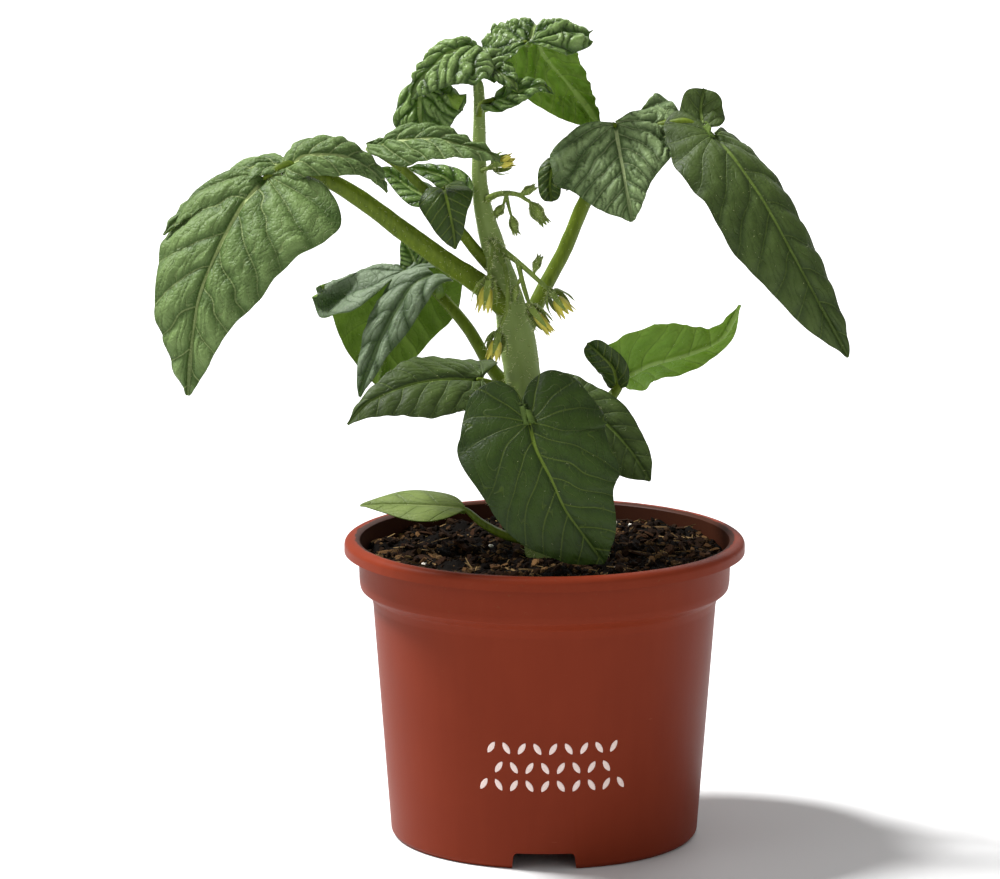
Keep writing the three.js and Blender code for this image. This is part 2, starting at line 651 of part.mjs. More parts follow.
// The leaf behind it, lower right of the stem
function leafFrontRight() {
  const petiole = stalk([
    [-3.5, 0, 119, 1.9], [0, 5, 126.5, 1.5], [9.6, 6, 130.2, 1.1],
  ]);
  const end = blade({
    rib: [[9, 6, 130.5], [16.5, 4, 126], [25, 1, 117.5], [31.5, -2, 108]],
    face: [[0, -0.8, 0.6], [0, -0.9, 0.4], [0, -1, 0.2]],
    half: [14, 8.5], shape: ["heart", "heart"],
  });
  return grownFromStem([petiole, end]);
}

// The leaf at the lower right, seen from below, with its tip curling up
function leafRightLow() {
  const petiole = stalk([
    [-3.5, 0, 111, 2.2], [7.5, 10, 122.5, 1.8], [19.5, 15, 130, 1.6], [24.4, 18.1, 137.3, 1],
  ]);
  const end = blade({
    rib: [[24.1, 18, 137], [31.7, 20, 140.2], [39, 22, 141.7], [46.8, 23, 144], [53.6, 22, 148.4],
      [58.4, 18, 158.4]],
    face: [[-0.2, 0.75, 0.65], [0, 0.85, 0.5], [-0.5, 0.8, 0.3]],
    half: [12, 11.5], shape: ["shoulder", "early"], fold: [15, 15], curl: [-25, 20],
  });
  const small = smallBlade({
    rib: [[21.8, 16.2, 133], [20.5, 14.5, 139], [16.5, 12, 143.8], [12.8, 10, 147.5]],
    face: [[-0.3, -0.9, 0.3], [-0.3, -0.9, 0.3]], half: [4.4, 4.4], shape: ["oval", "oval"],
  });
  return grownFromStem([petiole, end, small]);
}

// The seed leaf, on a stalk that leaves the stem at the soil
function seedLeaf() {
  const petiole = stalk([
    [0, 0, 87, 1.9], [-5.5, 0, 89.2, 1.5], [-12, 0, 91, 1.3], [-18.5, 2, 94, 1.2],
    [-24, 5.1, 98.1, 0.9],
  ]);
  const end = blade({
    rib: [[-23.5, 5, 98], [-31.4, 6, 98.7], [-43.5, 7, 99], [-55.6, 8, 98.6]],
    face: [[0, -0.45, 0.9], [0, -0.4, 0.9]],
    half: [8, 8], shape: ["lance", "lance"], veins: 3, puff: 0.1, scallop: 0, wave: 0.2,
    curl: [30, 30],
  });
  return grownFromStem([petiole, end]);
}

// The leaf in the middle of the crown, whose leaflets crowd round the stem
function leafInner() {
  const petiole = stalk([
    [-13.5, 1, 169.5, 2], [-19.5, -1, 176, 1.7], [-24.5, -3, 182.5, 1.6], [-29.5, -4, 189, 1.5],
    [-35.5, -6, 196, 1.4], [-43, -9, 203.5, 1.3], [-51.5, -13, 209.4, 0.9],
  ]);
  const end = blade({
    rib: [[-52, -13.5, 209.8], [-44, -19, 213], [-32, -22, 214], [-21.5, -23, 211.5],
      [-12.5, -22, 207.5]],
    face: [[0, -0.45, 0.9], [0.1, -0.5, 0.85]],
    half: [11, 9], shape: ["lance", "lance"], curl: [45, 45], puff: 1,
  });
  const hanging = smallBlade({
    rib: [[-33, -5, 193], [-39.5, -2, 196], [-44, 0, 199], [-49, 1, 202]],
    face: [[0, -0.7, 0.7], [0, -0.7, 0.7]], half: [5, 5], shape: ["egg", "egg"],
  });
  const heartStalk = stalk([[-29.5, -4, 189.2, 1], [-30.3, -6, 193.5, 0.9], [-30, -8, 197, 0.8]], 5, 1);
  const heart = smallBlade({
    rib: [[-30, -7.8, 196.9], [-29.2, -11.5, 195.4], [-28, -13.5, 190.5], [-26.9, -14, 185],
      [-26.3, -13, 179.3]],
    face: [[0, -0.6, 0.8], [0, -0.95, 0.3], [0, -1, 0]],
    half: [8.2, 8], shape: ["egg", "shoulder"], curl: [35, 35],
  });
  const young = smallBlade({
    rib: [[-27, -3.5, 185.5], [-25.5, -3, 194], [-29, -2, 199], [-35, 0, 201], [-41, 1, 202]],
    face: [[-0.7, -0.7, 0], [-0.3, -0.7, 0.6], [0, -0.6, 0.8]], half: [5, 5],
    shape: ["lance", "lance"],
  });
  return grownFromStem([petiole, end, hanging, heartStalk, heart, young]);
}

// The growing tip: a short shoot that carries the youngest, most crinkled leaflets
function crownShoot() {
  const shoot = stalk([
    [-20, 3, 224, 1.1], [-20, 3, 229.5, 1.2], [-19, 1, 234, 1.4], [-17, -1, 237, 1],
  ], 8, 2);
  const rightStalk = stalk([[-19.5, 1, 232, 1.2], [-13, -1, 237, 1], [-5.4, -3, 239.6, 0.8]], 6, 1);
  const right = blade({
    rib: [[-5, -3, 239.5], [-3, 4, 244.8], [-1.8, 11, 243.3], [-0.5, 16, 235.5], [8, 20, 224],
      [17, 18, 212.5]],
    face: [[0, -0.7, 0.7], [0, 0.3, 1], [0.2, 1, 0.2], [0.2, 0.95, 0.1]],
    half: [18, 15.5], shape: ["early", "draped"], fold: [5, 5], curl: [35, 40], puff: 1,
  });
  const front = smallBlade({
    rib: [[-18.7, -0.5, 234], [-15, -8, 232.8], [-11, -12.5, 230.4], [-7.5, -14, 226.8]],
    face: [[0, -0.4, 0.9], [0.4, -0.8, 0.4]], half: [6.5, 6.5], shape: ["egg", "egg"],
    puff: 1, veins: 4,
  });
  const left = smallBlade({
    rib: [[-18, -1.2, 236], [-22.1, -6, 239.3], [-29.1, -9, 237.3], [-35.5, -10, 231.3],
      [-40.2, -10, 223.7]],
    face: [[0, -0.5, 0.85], [-0.4, -0.6, 0.7]], half: [8, 16], shape: ["egg", "egg"], veins: 4,
    puff: 1, curl: [55, 45],
  });
  const lowStalk = stalk([[-20, 3, 228.5, 1.1], [-25, 2, 228.5, 1], [-33.9, -3.5, 227.2, 0.8]], 6, 1);
  const low = blade({
    rib: [[-33, -3, 227.8], [-36.7, -7.5, 225.8], [-37, -9, 219.5], [-35.9, -9, 212.5],
      [-34.2, -8.5, 206.5]],
    face: [[-0.3, -0.6, 0.7], [-0.2, -1, 0.1], [-0.1, -1, 0]], half: [8.5, 15],
    shape: ["late", "egg"], veins: 4, puff: 1, curl: [45, 35],
  });
  return largestPiece(fuse([shoot, rightStalk, right, front, left, lowStalk, low]).subtract(stemCut));
}

// A small crinkled leaf that points to the right below the growing tip
function crownLeafRight() {
  const petiole = stalk([[-19.6, 1.5, 217, 1.1], [-18.5, -3, 221, 1], [-15, -7, 223, 0.8]], 6, 2);
  const end = smallBlade({
    rib: [[-18.5, -3.5, 221], [-14, -8, 223.5], [-7.5, -11, 226.5], [-1.5, -12, 228],
      [3, -12, 226]],
    face: [[0, -0.5, 0.85], [0, -0.6, 0.8]], half: [6, 6], shape: ["lance", "lance"], veins: 4,
    puff: 0.9,
  });
  return grownFromStem([petiole, end]);
}

// Flowers of the lower truss and the single one by the crown
const flowers = [
  { at: [-16.5, -14, 171], toward: [-18.5, -14.5, 158], size: 1, spread: 2.6 },
  { at: [-13.5, -17, 155.5], toward: [-16, -17.5, 146], size: 0.8, spread: 2.4 },
  { at: [1.6, -11.6, 166.8], toward: [8.2, -12, 158.5], size: 0.85, spread: 2.9 },
  { at: [-4.5, -13, 162.5], toward: [4.5, -14, 151.5], size: 1, spread: 1.5 },
  { at: [-15.5, -6, 203], toward: [-9, -7.5, 205.5], size: 0.6, spread: 2 },
];

function trussLower() {
  const stalks = [
    stalk([
      [-15.5, 0, 178.5, 1.4], [-15.5, -5, 180, 1.2], [-16, -10, 177, 0.8], [-16.5, -14, 172.5, 0.7],
    ], 5, 1),
    stalk([
      [-15, -4, 179.5, 1.1], [-11.5, -8, 172, 0.8], [-11, -13, 163, 0.7], [-13, -16.5, 157, 0.7],
    ], 5, 2),
    stalk([
      [-15, -3, 179.5, 1.1], [-7.5, -8, 174.5, 0.8], [-2, -11, 170, 0.7], [1.2, -12, 167.2, 0.7],
    ], 5, 1),
    stalk([[-8, -8, 174.8, 0.7], [-6.5, -11, 169, 0.7], [-4.8, -13, 163.5, 0.7]], 5, 1),
  ];
  const buds = [
    bud({
      stalkPoints: [[-3.5, -10, 171.2, 0.6]], at: [-3, -9.5, 173], toward: [-1, -8, 178],
      length: 4, radius: 1.2,
    }),
    bud({
      stalkPoints: [[-7, -10, 170.5, 0.6]], at: [-8.5, -11.5, 168], toward: [-9, -12, 163],
      length: 4, radius: 1.2,
    }),
  ];
  return grownFromStem([...stalks, ...flowers.slice(0, 4).map(calyx), ...buds]);
}

function trussUpper() {
  const peduncle = stalk([
    [-18.5, 0, 191.5, 1.1], [-14, -6, 194.8, 0.9], [-8.5, -11, 195.5, 0.7], [-4, -12, 193, 0.6],
  ], 6, 2);
  const buds = [
    bud({
      stalkPoints: [[-5, -11.9, 193.9, 0.6]], at: [-4, -12, 192.8], toward: [0.5, -13, 186.5],
      length: 6.6, radius: 1.9,
    }),
    bud({
      stalkPoints: [[-8.5, -11, 195.5, 0.6]], at: [-6.5, -11.7, 195.8],
      toward: [-2.5, -12.5, 198.3], length: 4, radius: 1.2,
    }),
    bud({
      stalkPoints: [[-11.5, -9, 195.2, 0.6], [-10.5, -11, 191, 0.5]], at: [-9.7, -12, 188.6],
      toward: [-8, -12, 182.5], length: 4.6, radius: 1.3,
    }),
    bud({
      stalkPoints: [[-11.2, -9.4, 195.3, 0.6]], at: [-12.5, -11.5, 192],
      toward: [-15.5, -13, 188.5], length: 3.6, radius: 1.3,
    }),
  ];
  return grownFromStem([peduncle, ...buds]);
}

function singleFlowerStalk() {
  const pedicel = stalk([
    [-19.3, 0.3, 200.5, 0.8], [-17.5, -4, 202, 0.7], [-15.8, -6, 202.9, 0.7],
  ], 6, 2);
  return grownFromStem([pedicel, calyx(flowers[4])]);
}

const tomatoPlant = new THREE.Group();
tomatoPlant.add(
  part("pot", pot(), potPlastic),
  part("soil", soil(), soilCrumbs),
  part("stem", stemSolid(), stemSkin),
  part("leaf_left_high", leafLeftHigh(), leafGreen),
  part("leaf_right_high", leafRightHigh(), leafGreen),
  part("leaf_left_mid", leafLeftMid(), leafGreen),
  part("leaf_left_low", leafLeftLow(), leafGreen),
  part("leaf_front_low", leafFrontLow(), leafGreen),
  part("leaf_front_right", leafFrontRight(), leafGreen),
  part("leaf_right_low", leafRightLow(), leafGreen),
  part("leaf_inner", leafInner(), leafGreen),
  part("seed_leaf", seedLeaf(), youngGreen),
  part("crown_shoot", crownShoot(), youngGreen),
  part("crown_leaf_right", crownLeafRight(), youngGreen),
  part("truss_lower", trussLower(), calyxGreen),
  part("truss_upper", trussUpper(), calyxGreen),
  part("flower_stalk_single", singleFlowerStalk(), calyxGreen),
  ...flowers.map((flower, i) => part(`petals_${i + 1}`, corolla(flower), petalYellow)),
);

export default tomatoPlant;
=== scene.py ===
"""A young tomato plant in a nursery pot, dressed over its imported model. Metres, +Z up."""

import json
import logging
import math
from dataclasses import dataclass
from enum import Enum
from functools import cached_property
from typing import Optional, Union

import bpy
import numpy as np
from bpy.types import Material, Node, NodeSocket, Object, bpy_prop_collection
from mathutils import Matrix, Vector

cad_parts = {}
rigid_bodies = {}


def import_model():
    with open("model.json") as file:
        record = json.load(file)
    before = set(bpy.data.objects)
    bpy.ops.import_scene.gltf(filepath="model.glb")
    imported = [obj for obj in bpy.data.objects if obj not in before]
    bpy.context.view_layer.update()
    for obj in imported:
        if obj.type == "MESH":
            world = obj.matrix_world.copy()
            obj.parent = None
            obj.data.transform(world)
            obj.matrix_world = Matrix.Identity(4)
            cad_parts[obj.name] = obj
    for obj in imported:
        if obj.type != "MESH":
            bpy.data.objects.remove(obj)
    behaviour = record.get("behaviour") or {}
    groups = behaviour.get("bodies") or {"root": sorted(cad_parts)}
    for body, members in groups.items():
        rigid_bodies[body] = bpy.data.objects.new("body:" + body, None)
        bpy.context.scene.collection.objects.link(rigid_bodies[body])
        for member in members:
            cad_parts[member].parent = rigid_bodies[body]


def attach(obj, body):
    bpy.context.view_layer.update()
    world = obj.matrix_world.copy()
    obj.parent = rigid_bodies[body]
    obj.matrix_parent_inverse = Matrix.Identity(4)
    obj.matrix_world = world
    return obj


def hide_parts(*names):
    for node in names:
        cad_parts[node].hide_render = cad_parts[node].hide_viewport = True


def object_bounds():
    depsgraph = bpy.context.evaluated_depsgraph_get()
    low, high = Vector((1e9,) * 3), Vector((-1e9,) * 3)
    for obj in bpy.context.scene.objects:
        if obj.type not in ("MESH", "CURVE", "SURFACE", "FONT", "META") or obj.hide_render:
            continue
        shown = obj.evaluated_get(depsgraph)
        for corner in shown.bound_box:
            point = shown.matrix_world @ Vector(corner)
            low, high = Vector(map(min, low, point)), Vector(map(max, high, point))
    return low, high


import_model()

log = logging.getLogger("tomato_plant")

MM = 0.001
PER_M2 = 1e4
"""A number per square centimetre times this is per square metre."""
BODY = "root"
CAD_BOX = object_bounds()

Pair = tuple[float, float]
Triple = tuple[float, float, float]
Colour = tuple[float, float, float]
Array = np.ndarray


def srgb(red: int, green: int, blue: int) -> Colour:
    """A screen colour, 0 to 255, in linear light by the numbers of the sRGB curve."""
    shares = [value / 255 for value in (red, green, blue)]
    return tuple(s / 12.92 if s <= 0.04045 else ((s + 0.055) / 1.055) ** 2.4 for s in shares)


# Shader arithmetic

class Term:
    """A node socket that takes part in arithmetic."""

    def __init__(self, book: "NodeBook", socket: NodeSocket) -> None:
        """Keeps the tree and the socket."""
        self.book = book
        self.socket = socket

    def __add__(self, other: "Value") -> "Term":
        """Sum."""
        return self.book.math("ADD", self, other)

    __radd__ = __add__

    def __mul__(self, other: "Value") -> "Term":
        """Product."""
        return self.book.math("MULTIPLY", self, other)

    __rmul__ = __mul__

    def __sub__(self, other: "Value") -> "Term":
        """Difference."""
        return self.book.math("SUBTRACT", self, other)

    def __rsub__(self, other: "Value") -> "Term":
        """Difference from a number."""
        return self.book.math("SUBTRACT", other, self)

    def __truediv__(self, other: "Value") -> "Term":
        """Quotient."""
        return self.book.math("DIVIDE", self, other)

    def __or__(self, other: "Value") -> "Term":
        """The larger of two masks."""
        return self.book.math("MAXIMUM", self, other)

    def swing(self, amount: float) -> "Term":
        """Noise from 0 to 1 as a change up or down by half the amount."""
        return (self - 0.5) * amount

    def to_whole(self) -> "Term":
        """Distance to the nearest whole number, 0 to 0.5."""
        return 0.5 - self.book.math("ABSOLUTE", self.book.math("FRACT", self) - 0.5)

    def rise(self, low: "Value", high: "Value") -> "Term":
        """0 below low, 1 above high and smooth between.

        Args:
            low: value where the rise starts.
            high: value where it ends.

        Returns:
            The rise as a term.
        """
        settings = {"interpolation_type": "SMOOTHSTEP"}
        inputs = {"Value": self, "From Min": low, "From Max": high}
        return self.book.term("ShaderNodeMapRange", settings, inputs, "Result")

    def fall(self, low: "Value", high: "Value") -> "Term":
        """1 below low and 0 above high."""
        return 1 - self.rise(low, high)


Value = Union[Term, float]


class Tree:
    """A node tree and the one method that fills it."""

    def __init__(self, tree: bpy.types.NodeTree) -> None:
        """Keeps the tree."""
        self.tree = tree

    def node(self, kind: str, settings: Optional[dict] = None,
             inputs: Optional[dict] = None) -> Node:
        """Makes one node.

        Args:
            kind: the node's type.
            settings: its properties, with "stops" for a ramp's (place, colour) pairs.
            inputs: values, terms or sockets by socket name or identifier.

        Returns:
            The node.
        """
        made = self.tree.nodes.new(kind)
        for key, value in (settings or {}).items():
            if key == "stops":
                self.set_stops(made.color_ramp.elements, value)
            else:
                setattr(made, key, value)
        for key, value in (inputs or {}).items():
            socket = self.find(made.inputs, key)
            if isinstance(value, Term):
                self.tree.links.new(value.socket, socket)
            elif isinstance(value, NodeSocket):
                self.tree.links.new(value, socket)
            elif socket.type == "RGBA" and len(value) == 3:
                socket.default_value = (*value, 1)
            else:
                socket.default_value = value
        return made

    @staticmethod
    def set_stops(elements: bpy.types.ColorRampElements,
                  stops: tuple[tuple[float, Colour], ...]) -> None:
        """Gives a colour ramp its stops. A new ramp has two."""
        for _ in stops[2:]:
            elements.new(0.5)
        for element, (place, colour) in zip(elements, stops):
            element.position = place
            element.color = (*colour, 1)

    @staticmethod
    def find(sockets: bpy_prop_collection, key: str) -> NodeSocket:
        """The socket with that identifier, or else with that name."""
        exact = [s for s in sockets if s.identifier == key]
        return exact[0] if exact else sockets[key]


class NodeBook(Tree):
    """The node tree of one material."""

    def __init__(self, name: str) -> None:
        """Makes the material with an empty tree."""
        self.material = bpy.data.materials.new(name)
        self.material.use_nodes = True
        super().__init__(self.material.node_tree)
        self.tree.nodes.clear()

    def term(self, kind: str, settings: Optional[dict] = None, inputs: Optional[dict] = None,
             output: Union[int, str] = 0) -> Term:
        """Makes one node and returns one of its outputs.

        Args:
            kind: the node's type.
            settings: its properties.
            inputs: its inputs.
            output: number, name or identifier of the output.

        Returns:
            The output as a term.
        """
        made = self.node(kind, settings, inputs)
        if isinstance(output, int):
            return Term(self, made.outputs[output])
        return Term(self, self.find(made.outputs, output))

    def math(self, operation: str, *values: Value) -> Term:
        """A Math node on one or two values."""
        inputs = dict(zip(("Value", "Value_001"), values))
        return self.term("ShaderNodeMath", {"operation": operation}, inputs)

    def mix(self, low: Union[Colour, Term], high: Union[Colour, Term], factor: Value) -> Term:
        """A colour between low and high."""
        inputs = {"Factor_Float": factor, "A_Color": low, "B_Color": high}
        return self.term("ShaderNodeMix", {"data_type": "RGBA"}, inputs, "Result_Color")

    @cached_property
    def here(self) -> Term:
        """The point on the object, in metres."""
        return self.term("ShaderNodeTexCoord", output="Object")

    def stretched(self, *scale: float) -> Term:
        """The point with its x, y and z scaled."""
        inputs = {"Vector": self.here, "Vector_001": scale}
        return self.term("ShaderNodeVectorMath", {"operation": "MULTIPLY"}, inputs, "Vector")

    def noise(self, per_mm: float, detail: float = 2, rough: float = 0.5,
              point: Optional[Term] = None) -> Term:
        """Soft noise, 0 to 1, with that many lumps a millimetre."""
        inputs = {"Vector": point or self.here, "Scale": per_mm / MM, "Detail": detail,
                  "Roughness": rough}
        return self.term("ShaderNodeTexNoise", None, inputs)

    def cells(self, per_mm: float) -> Term:
        """Distance to the edge of irregular cells."""
        inputs = {"Vector": self.here, "Scale": per_mm / MM}
        return self.term("ShaderNodeTexVoronoi", {"feature": "DISTANCE_TO_EDGE"}, inputs,
                         "Distance")

    def mark(self, name: str) -> list[Term]:
        """The three numbers that the mesh holds under that name."""
        vector = self.term("ShaderNodeAttribute", {"attribute_name": name}, None, "Vector")
        split = self.node("ShaderNodeSeparateXYZ", None, {"Vector": vector})
        return [Term(self, socket) for socket in split.outputs]

    def shade(self, name: str) -> Term:
        """The number that the mesh holds under that name."""
        return self.term("ShaderNodeAttribute", {"attribute_name": name}, None, "Fac")

    def bump(self, height: Term, depth_mm: float, strength: float = 1) -> Term:
        """A normal bent by height, 0 to 1, over that depth."""
        inputs = {"Height": height, "Distance": depth_mm * MM, "Strength": strength}
        return self.term("ShaderNodeBump", None, inputs, "Normal")

    def surface(self, inputs: dict, glow: Optional[dict] = None,
                share: float = 0) -> Material:
        """Ends the tree in a surface.

        Args:
            inputs: the main shader's inputs.
            glow: inputs of the light that comes through a thin sheet, if any.
            share: how much of the surface is that light.

        Returns:
            The material.
        """
        made = self.term("ShaderNodeBsdfPrincipled", None, inputs)
        if glow:
            through = self.term("ShaderNodeBsdfTranslucent", None, glow)
            made = self.term("ShaderNodeMixShader", None,
                             {"Fac": share, "Shader": made, "Shader_001": through})
        self.node("ShaderNodeOutputMaterial", None, {"Surface": made})
        return self.material


# Finishes

CROSS_SPACING = 3.4
"""Millimetres between the small veins that branch off a side vein."""
SIDE_VEIN_MM = (0.05, 0.34)
"""How far from the middle of a side vein its mark starts to fade, and where it ends."""
SMALL_VEIN_MM = (0.02, 0.2)
"""The same for a small vein."""
NET_PER_MM = 0.7
"""Cells a millimetre in the net of the finest veins."""


@dataclass(frozen=True)
class Finish:
    """How one material looks."""

    name: str

    def material(self) -> Material:
        """The material of this name, or a new one where there is none.

        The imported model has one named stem_skin, so the stem takes that plain one as it is.
        """
        return bpy.data.materials.get(self.name) or self.new()

    def new(self) -> Material:
        """A new material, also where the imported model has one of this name."""
        return self.paint(NodeBook(self.name))

    def paint(self, book: NodeBook) -> Material:
        """Fills the new material's tree."""
        raise NotImplementedError


@dataclass(frozen=True)
class LeafFinish(Finish):
    """The skin of a leaflet: veins, pillows between them and a paler underside, with painted light
    on the pillows and painted shade in the creases and in the underside's hollows.
    """

    top: Colour
    # dark is the darker tone and also the painted shade in the creases; under_dark does the same
    # on the underside.
    dark: Colour
    vein: Colour
    under: Colour
    under_dark: Colour
    glow: Colour
    glow_share: float = 0.25
    roughness: float = 0.56
    bloom: float = 0.05
    side_vein: float = 0.1
    grain: float = 1
    # How much painted shade darkens the creases between the pillows.
    crease_shade: float = 0.6

    def paint(self, book: NodeBook) -> Material:
        """Fills the tree from the marks that each leaflet holds."""
        lateral, cross, gap = book.mark("veins")
        from_rib, at, under = book.mark("place")
        raised = book.shade("relief").rise(0.1, 0.9)
        lateral_mm = lateral.to_whole() * gap
        cross_mm = cross.to_whole() * CROSS_SPACING
        cell_edge = book.cells(NET_PER_MM)
        rib_width = 0.75 - at * 0.5
        midrib = (from_rib.fall(rib_width * 0.4, rib_width) * at.fall(0.35, 1.3)
                  * at.rise(0.1, 0.2))
        side = lateral_mm.fall(*SIDE_VEIN_MM) * from_rib.fall(1, 30)
        small = cross_mm.fall(*SMALL_VEIN_MM)
        net = cell_edge.fall(0.0, 0.1)
        tone = book.noise(0.05, 3, 0.6)
        speck = book.noise(1.6, 2, 0.7)
        # Painted light: the pillows' tops are painted lighter, on top of the leaf's own random
        # tone.
        light = raised * 0.75 + tone.swing(1.1) + speck.swing(0.4) + 0.1
        # Painted shade in the creases along the side veins, the small veins and the net.
        painted_crease_shade = lateral_mm.fall(0.1, 0.8) | small * 0.7 | net * 0.3
        veins = midrib | side * self.side_vein | small * self.side_vein * 0.5
        top = book.mix(self.dark, self.top, light)
        top = book.mix(top, self.dark, painted_crease_shade * self.crease_shade)
        top = book.mix(top, self.vein, veins)
        # Painted shade in the underside's hollows under the pillows, on top of its own random
        # tone.
        below = book.mix(self.under, self.under_dark, raised * 0.55 + tone.swing(1.1) + 0.1)
        below = book.mix(below, self.under_dark, side * 0.55 | small * 0.3 | net * 0.12)
        below = book.mix(below, self.vein, midrib * 0.75)
        height = (cell_edge.rise(0.0, 0.3) * 0.4 * self.grain + speck * 0.15 - side * 0.4
                  - small * 0.4 - midrib * 0.3) * (1 - under * 1.6)
        rough = self.roughness + tone.swing(0.15) + speck.swing(0.15) + under * 0.2
        through = book.mix(self.glow, self.under_dark, side * 0.5 | small * 0.25)
        normal = book.bump(height, 0.4, 0.7)
        return book.surface(
            {"Base Color": book.mix(top, below, under), "Roughness": rough, "Normal": normal,
             "Sheen Weight": self.bloom, "Sheen Roughness": 0.5,
             "Sheen Tint": (0.9, 1, 0.85, 1), "Specular IOR Level": 0.3},
            {"Color": through, "Normal": normal}, self.glow_share)


@dataclass(frozen=True)
class SkinFinish(Finish):
    """A green stalk's skin, streaked along its length."""

    light: Colour
    dark: Colour
    glow_share: float = 0.08

    def paint(self, book: NodeBook) -> Material:
        """Fills the tree with streaks, soft patches and a fine grain."""
        streak = book.noise(0.9, 3, 0.6, book.stretched(1, 1, 0.12))
        tone = book.noise(0.08, 2)
        grain = book.noise(3.2, 2)
        colour = book.mix(self.dark, self.light, streak.swing(1.5) + (tone - 0.5) + 0.55)
        normal = book.bump(streak * 0.6 + grain * 0.4, 0.18, 0.6)
        return book.surface(
            {"Base Color": colour, "Roughness": 0.5 + grain.swing(0.25), "Normal": normal,
             "Specular IOR Level": 0.15},
            {"Color": colour, "Normal": normal}, self.glow_share)


@dataclass(frozen=True)
class PlainFinish(Finish):
    """One colour that wanders between two tones, with a fine grain."""

    light: Colour
    dark: Colour
    roughness: float
    per_mm: float
    depth_mm: float
    glow_share: float = 0.0

    def paint(self, book: NodeBook) -> Material:
        """Fills the tree with one noise for colour, roughness and grain."""
        tone = book.noise(self.per_mm, 3, 0.6)
        colour = book.mix(self.dark, self.light, tone.swing(1.8) + 0.5)
        glow = {"Color": colour} if self.glow_share else None
        return book.surface(
            {"Base Color": colour, "Roughness": self.roughness + tone.swing(0.2),
             "Normal": book.bump(tone, self.depth_mm)}, glow, self.glow_share)


@dataclass(frozen=True)
class CrumbFinish(Finish):
    """Bits that each take their own place between several tones."""

    tones: tuple[tuple[float, Colour], ...]
    roughness: float = 0.9

    def paint(self, book: NodeBook) -> Material:
        """Fills the tree from the shade that each bit holds."""
        grain = book.noise(1.8, 3, 0.7)
        place = book.shade("shade") + grain.swing(0.25)
        colour = book.term("ShaderNodeValToRGB", {"stops": self.tones}, {"Fac": place}, "Color")
        return book.surface({"Base Color": colour, "Roughness": self.roughness - grain * 0.2,
                             "Specular IOR Level": 0.04, "Normal": book.bump(grain, 0.25)})


@dataclass(frozen=True)
class HairFinish(Finish):
    """Fine hairs that let light through."""

    pale: Colour
    green: Colour

    def paint(self, book: NodeBook) -> Material:
        """Fills the tree with two tones."""
        colour = book.mix(self.pale, self.green, book.noise(0.5, 2) * 0.6)
        return book.surface({"Base Color": colour, "Roughness": 0.45}, {"Color": colour}, 0.45)


@dataclass(frozen=True)
class PotFinish(Finish):
    """Moulded terracotta-coloured plastic with scuffs, drip marks and dust by the rim, and an
    inner wall above the soil darkened partly by the soil's stain and partly by painted shade.

    Heights are given from the pot's foot, and depths from the top of its rim.
    """

    name: str = "pot_plastic"
    body: Colour = srgb(118, 46, 26)
    deep: Colour = srgb(106, 38, 20)
    pale: Colour = srgb(160, 96, 76)
    dust: Colour = srgb(108, 78, 54)
    # Painted on the inner wall above the soil: partly its stain, partly painted shade.
    soil: Colour = srgb(40, 27, 18)
    rim_top_mm: float = 90.7
    dust_depth_mm: float = 22
    soil_depth_mm: float = 13
    inner_wall_mm: float = 54.95
    inner_slope: float = 0.055

    def paint(self, book: NodeBook) -> Material:
        """Fills the tree: the plastic, its scuffs and dust, and the inner wall above the soil,
        darkened partly by soil stain and partly by painted shade.
        """
        top = self.rim_top_mm
        cloud = book.noise(0.03, 3, 0.6)
        drips = book.noise(0.25, 3, 0.6, book.stretched(1, 1, 0.1))
        grain = book.noise(2.4, 2)
        scratch = book.noise(0.5, 4, 0.75, book.stretched(0.35, 0.35, 2.4)).rise(0.66, 0.74)
        patch = book.noise(0.05, 2).rise(0.5, 0.7)
        split = book.node("ShaderNodeSeparateXYZ", None, {"Vector": book.here})
        height = Term(book, split.outputs[2]) / MM
        by_rim = height.rise(top - self.dust_depth_mm, top - 3)
        dusty = book.noise(0.7, 4, 0.75).rise(0.6, 0.72) * by_rim
        colour = book.mix(self.deep, self.body, (cloud - 0.5) + drips.swing(0.5) + 0.6)
        colour = book.mix(colour, self.pale, scratch * patch * 0.35)
        colour = book.mix(colour, self.dust, dusty * 0.3)
        from_axis = book.term("ShaderNodeVectorMath", {"operation": "LENGTH"},
                              {"Vector": book.stretched(1, 1, 0)}, "Value") / MM
        # The inner wall above the soil and splashes on the lip take the soil colour: real soil
        # stain, and on the inner wall also painted shade.
        splash = height.rise(top - 2, top - 0.3) * book.noise(0.18, 4, 0.65) * 2.2
        wall = from_axis - (height - top + self.soil_depth_mm) * self.inner_slope - splash
        soil_stain_and_shade = (wall.fall(self.inner_wall_mm, self.inner_wall_mm + 0.2)
                  * height.rise(top - self.soil_depth_mm - 0.7, top - self.soil_depth_mm + 1))
        colour = book.mix(colour, self.soil, soil_stain_and_shade * 0.85)
        rough = 0.46 + cloud.swing(0.15) + grain.swing(0.1) + dusty * 0.3
        normal = book.bump(grain * 0.6 + drips * 0.4, 0.05, 0.5)
        return book.surface({"Base Color": colour, "Roughness": rough, "Normal": normal,
                             "Specular IOR Level": 0.06})


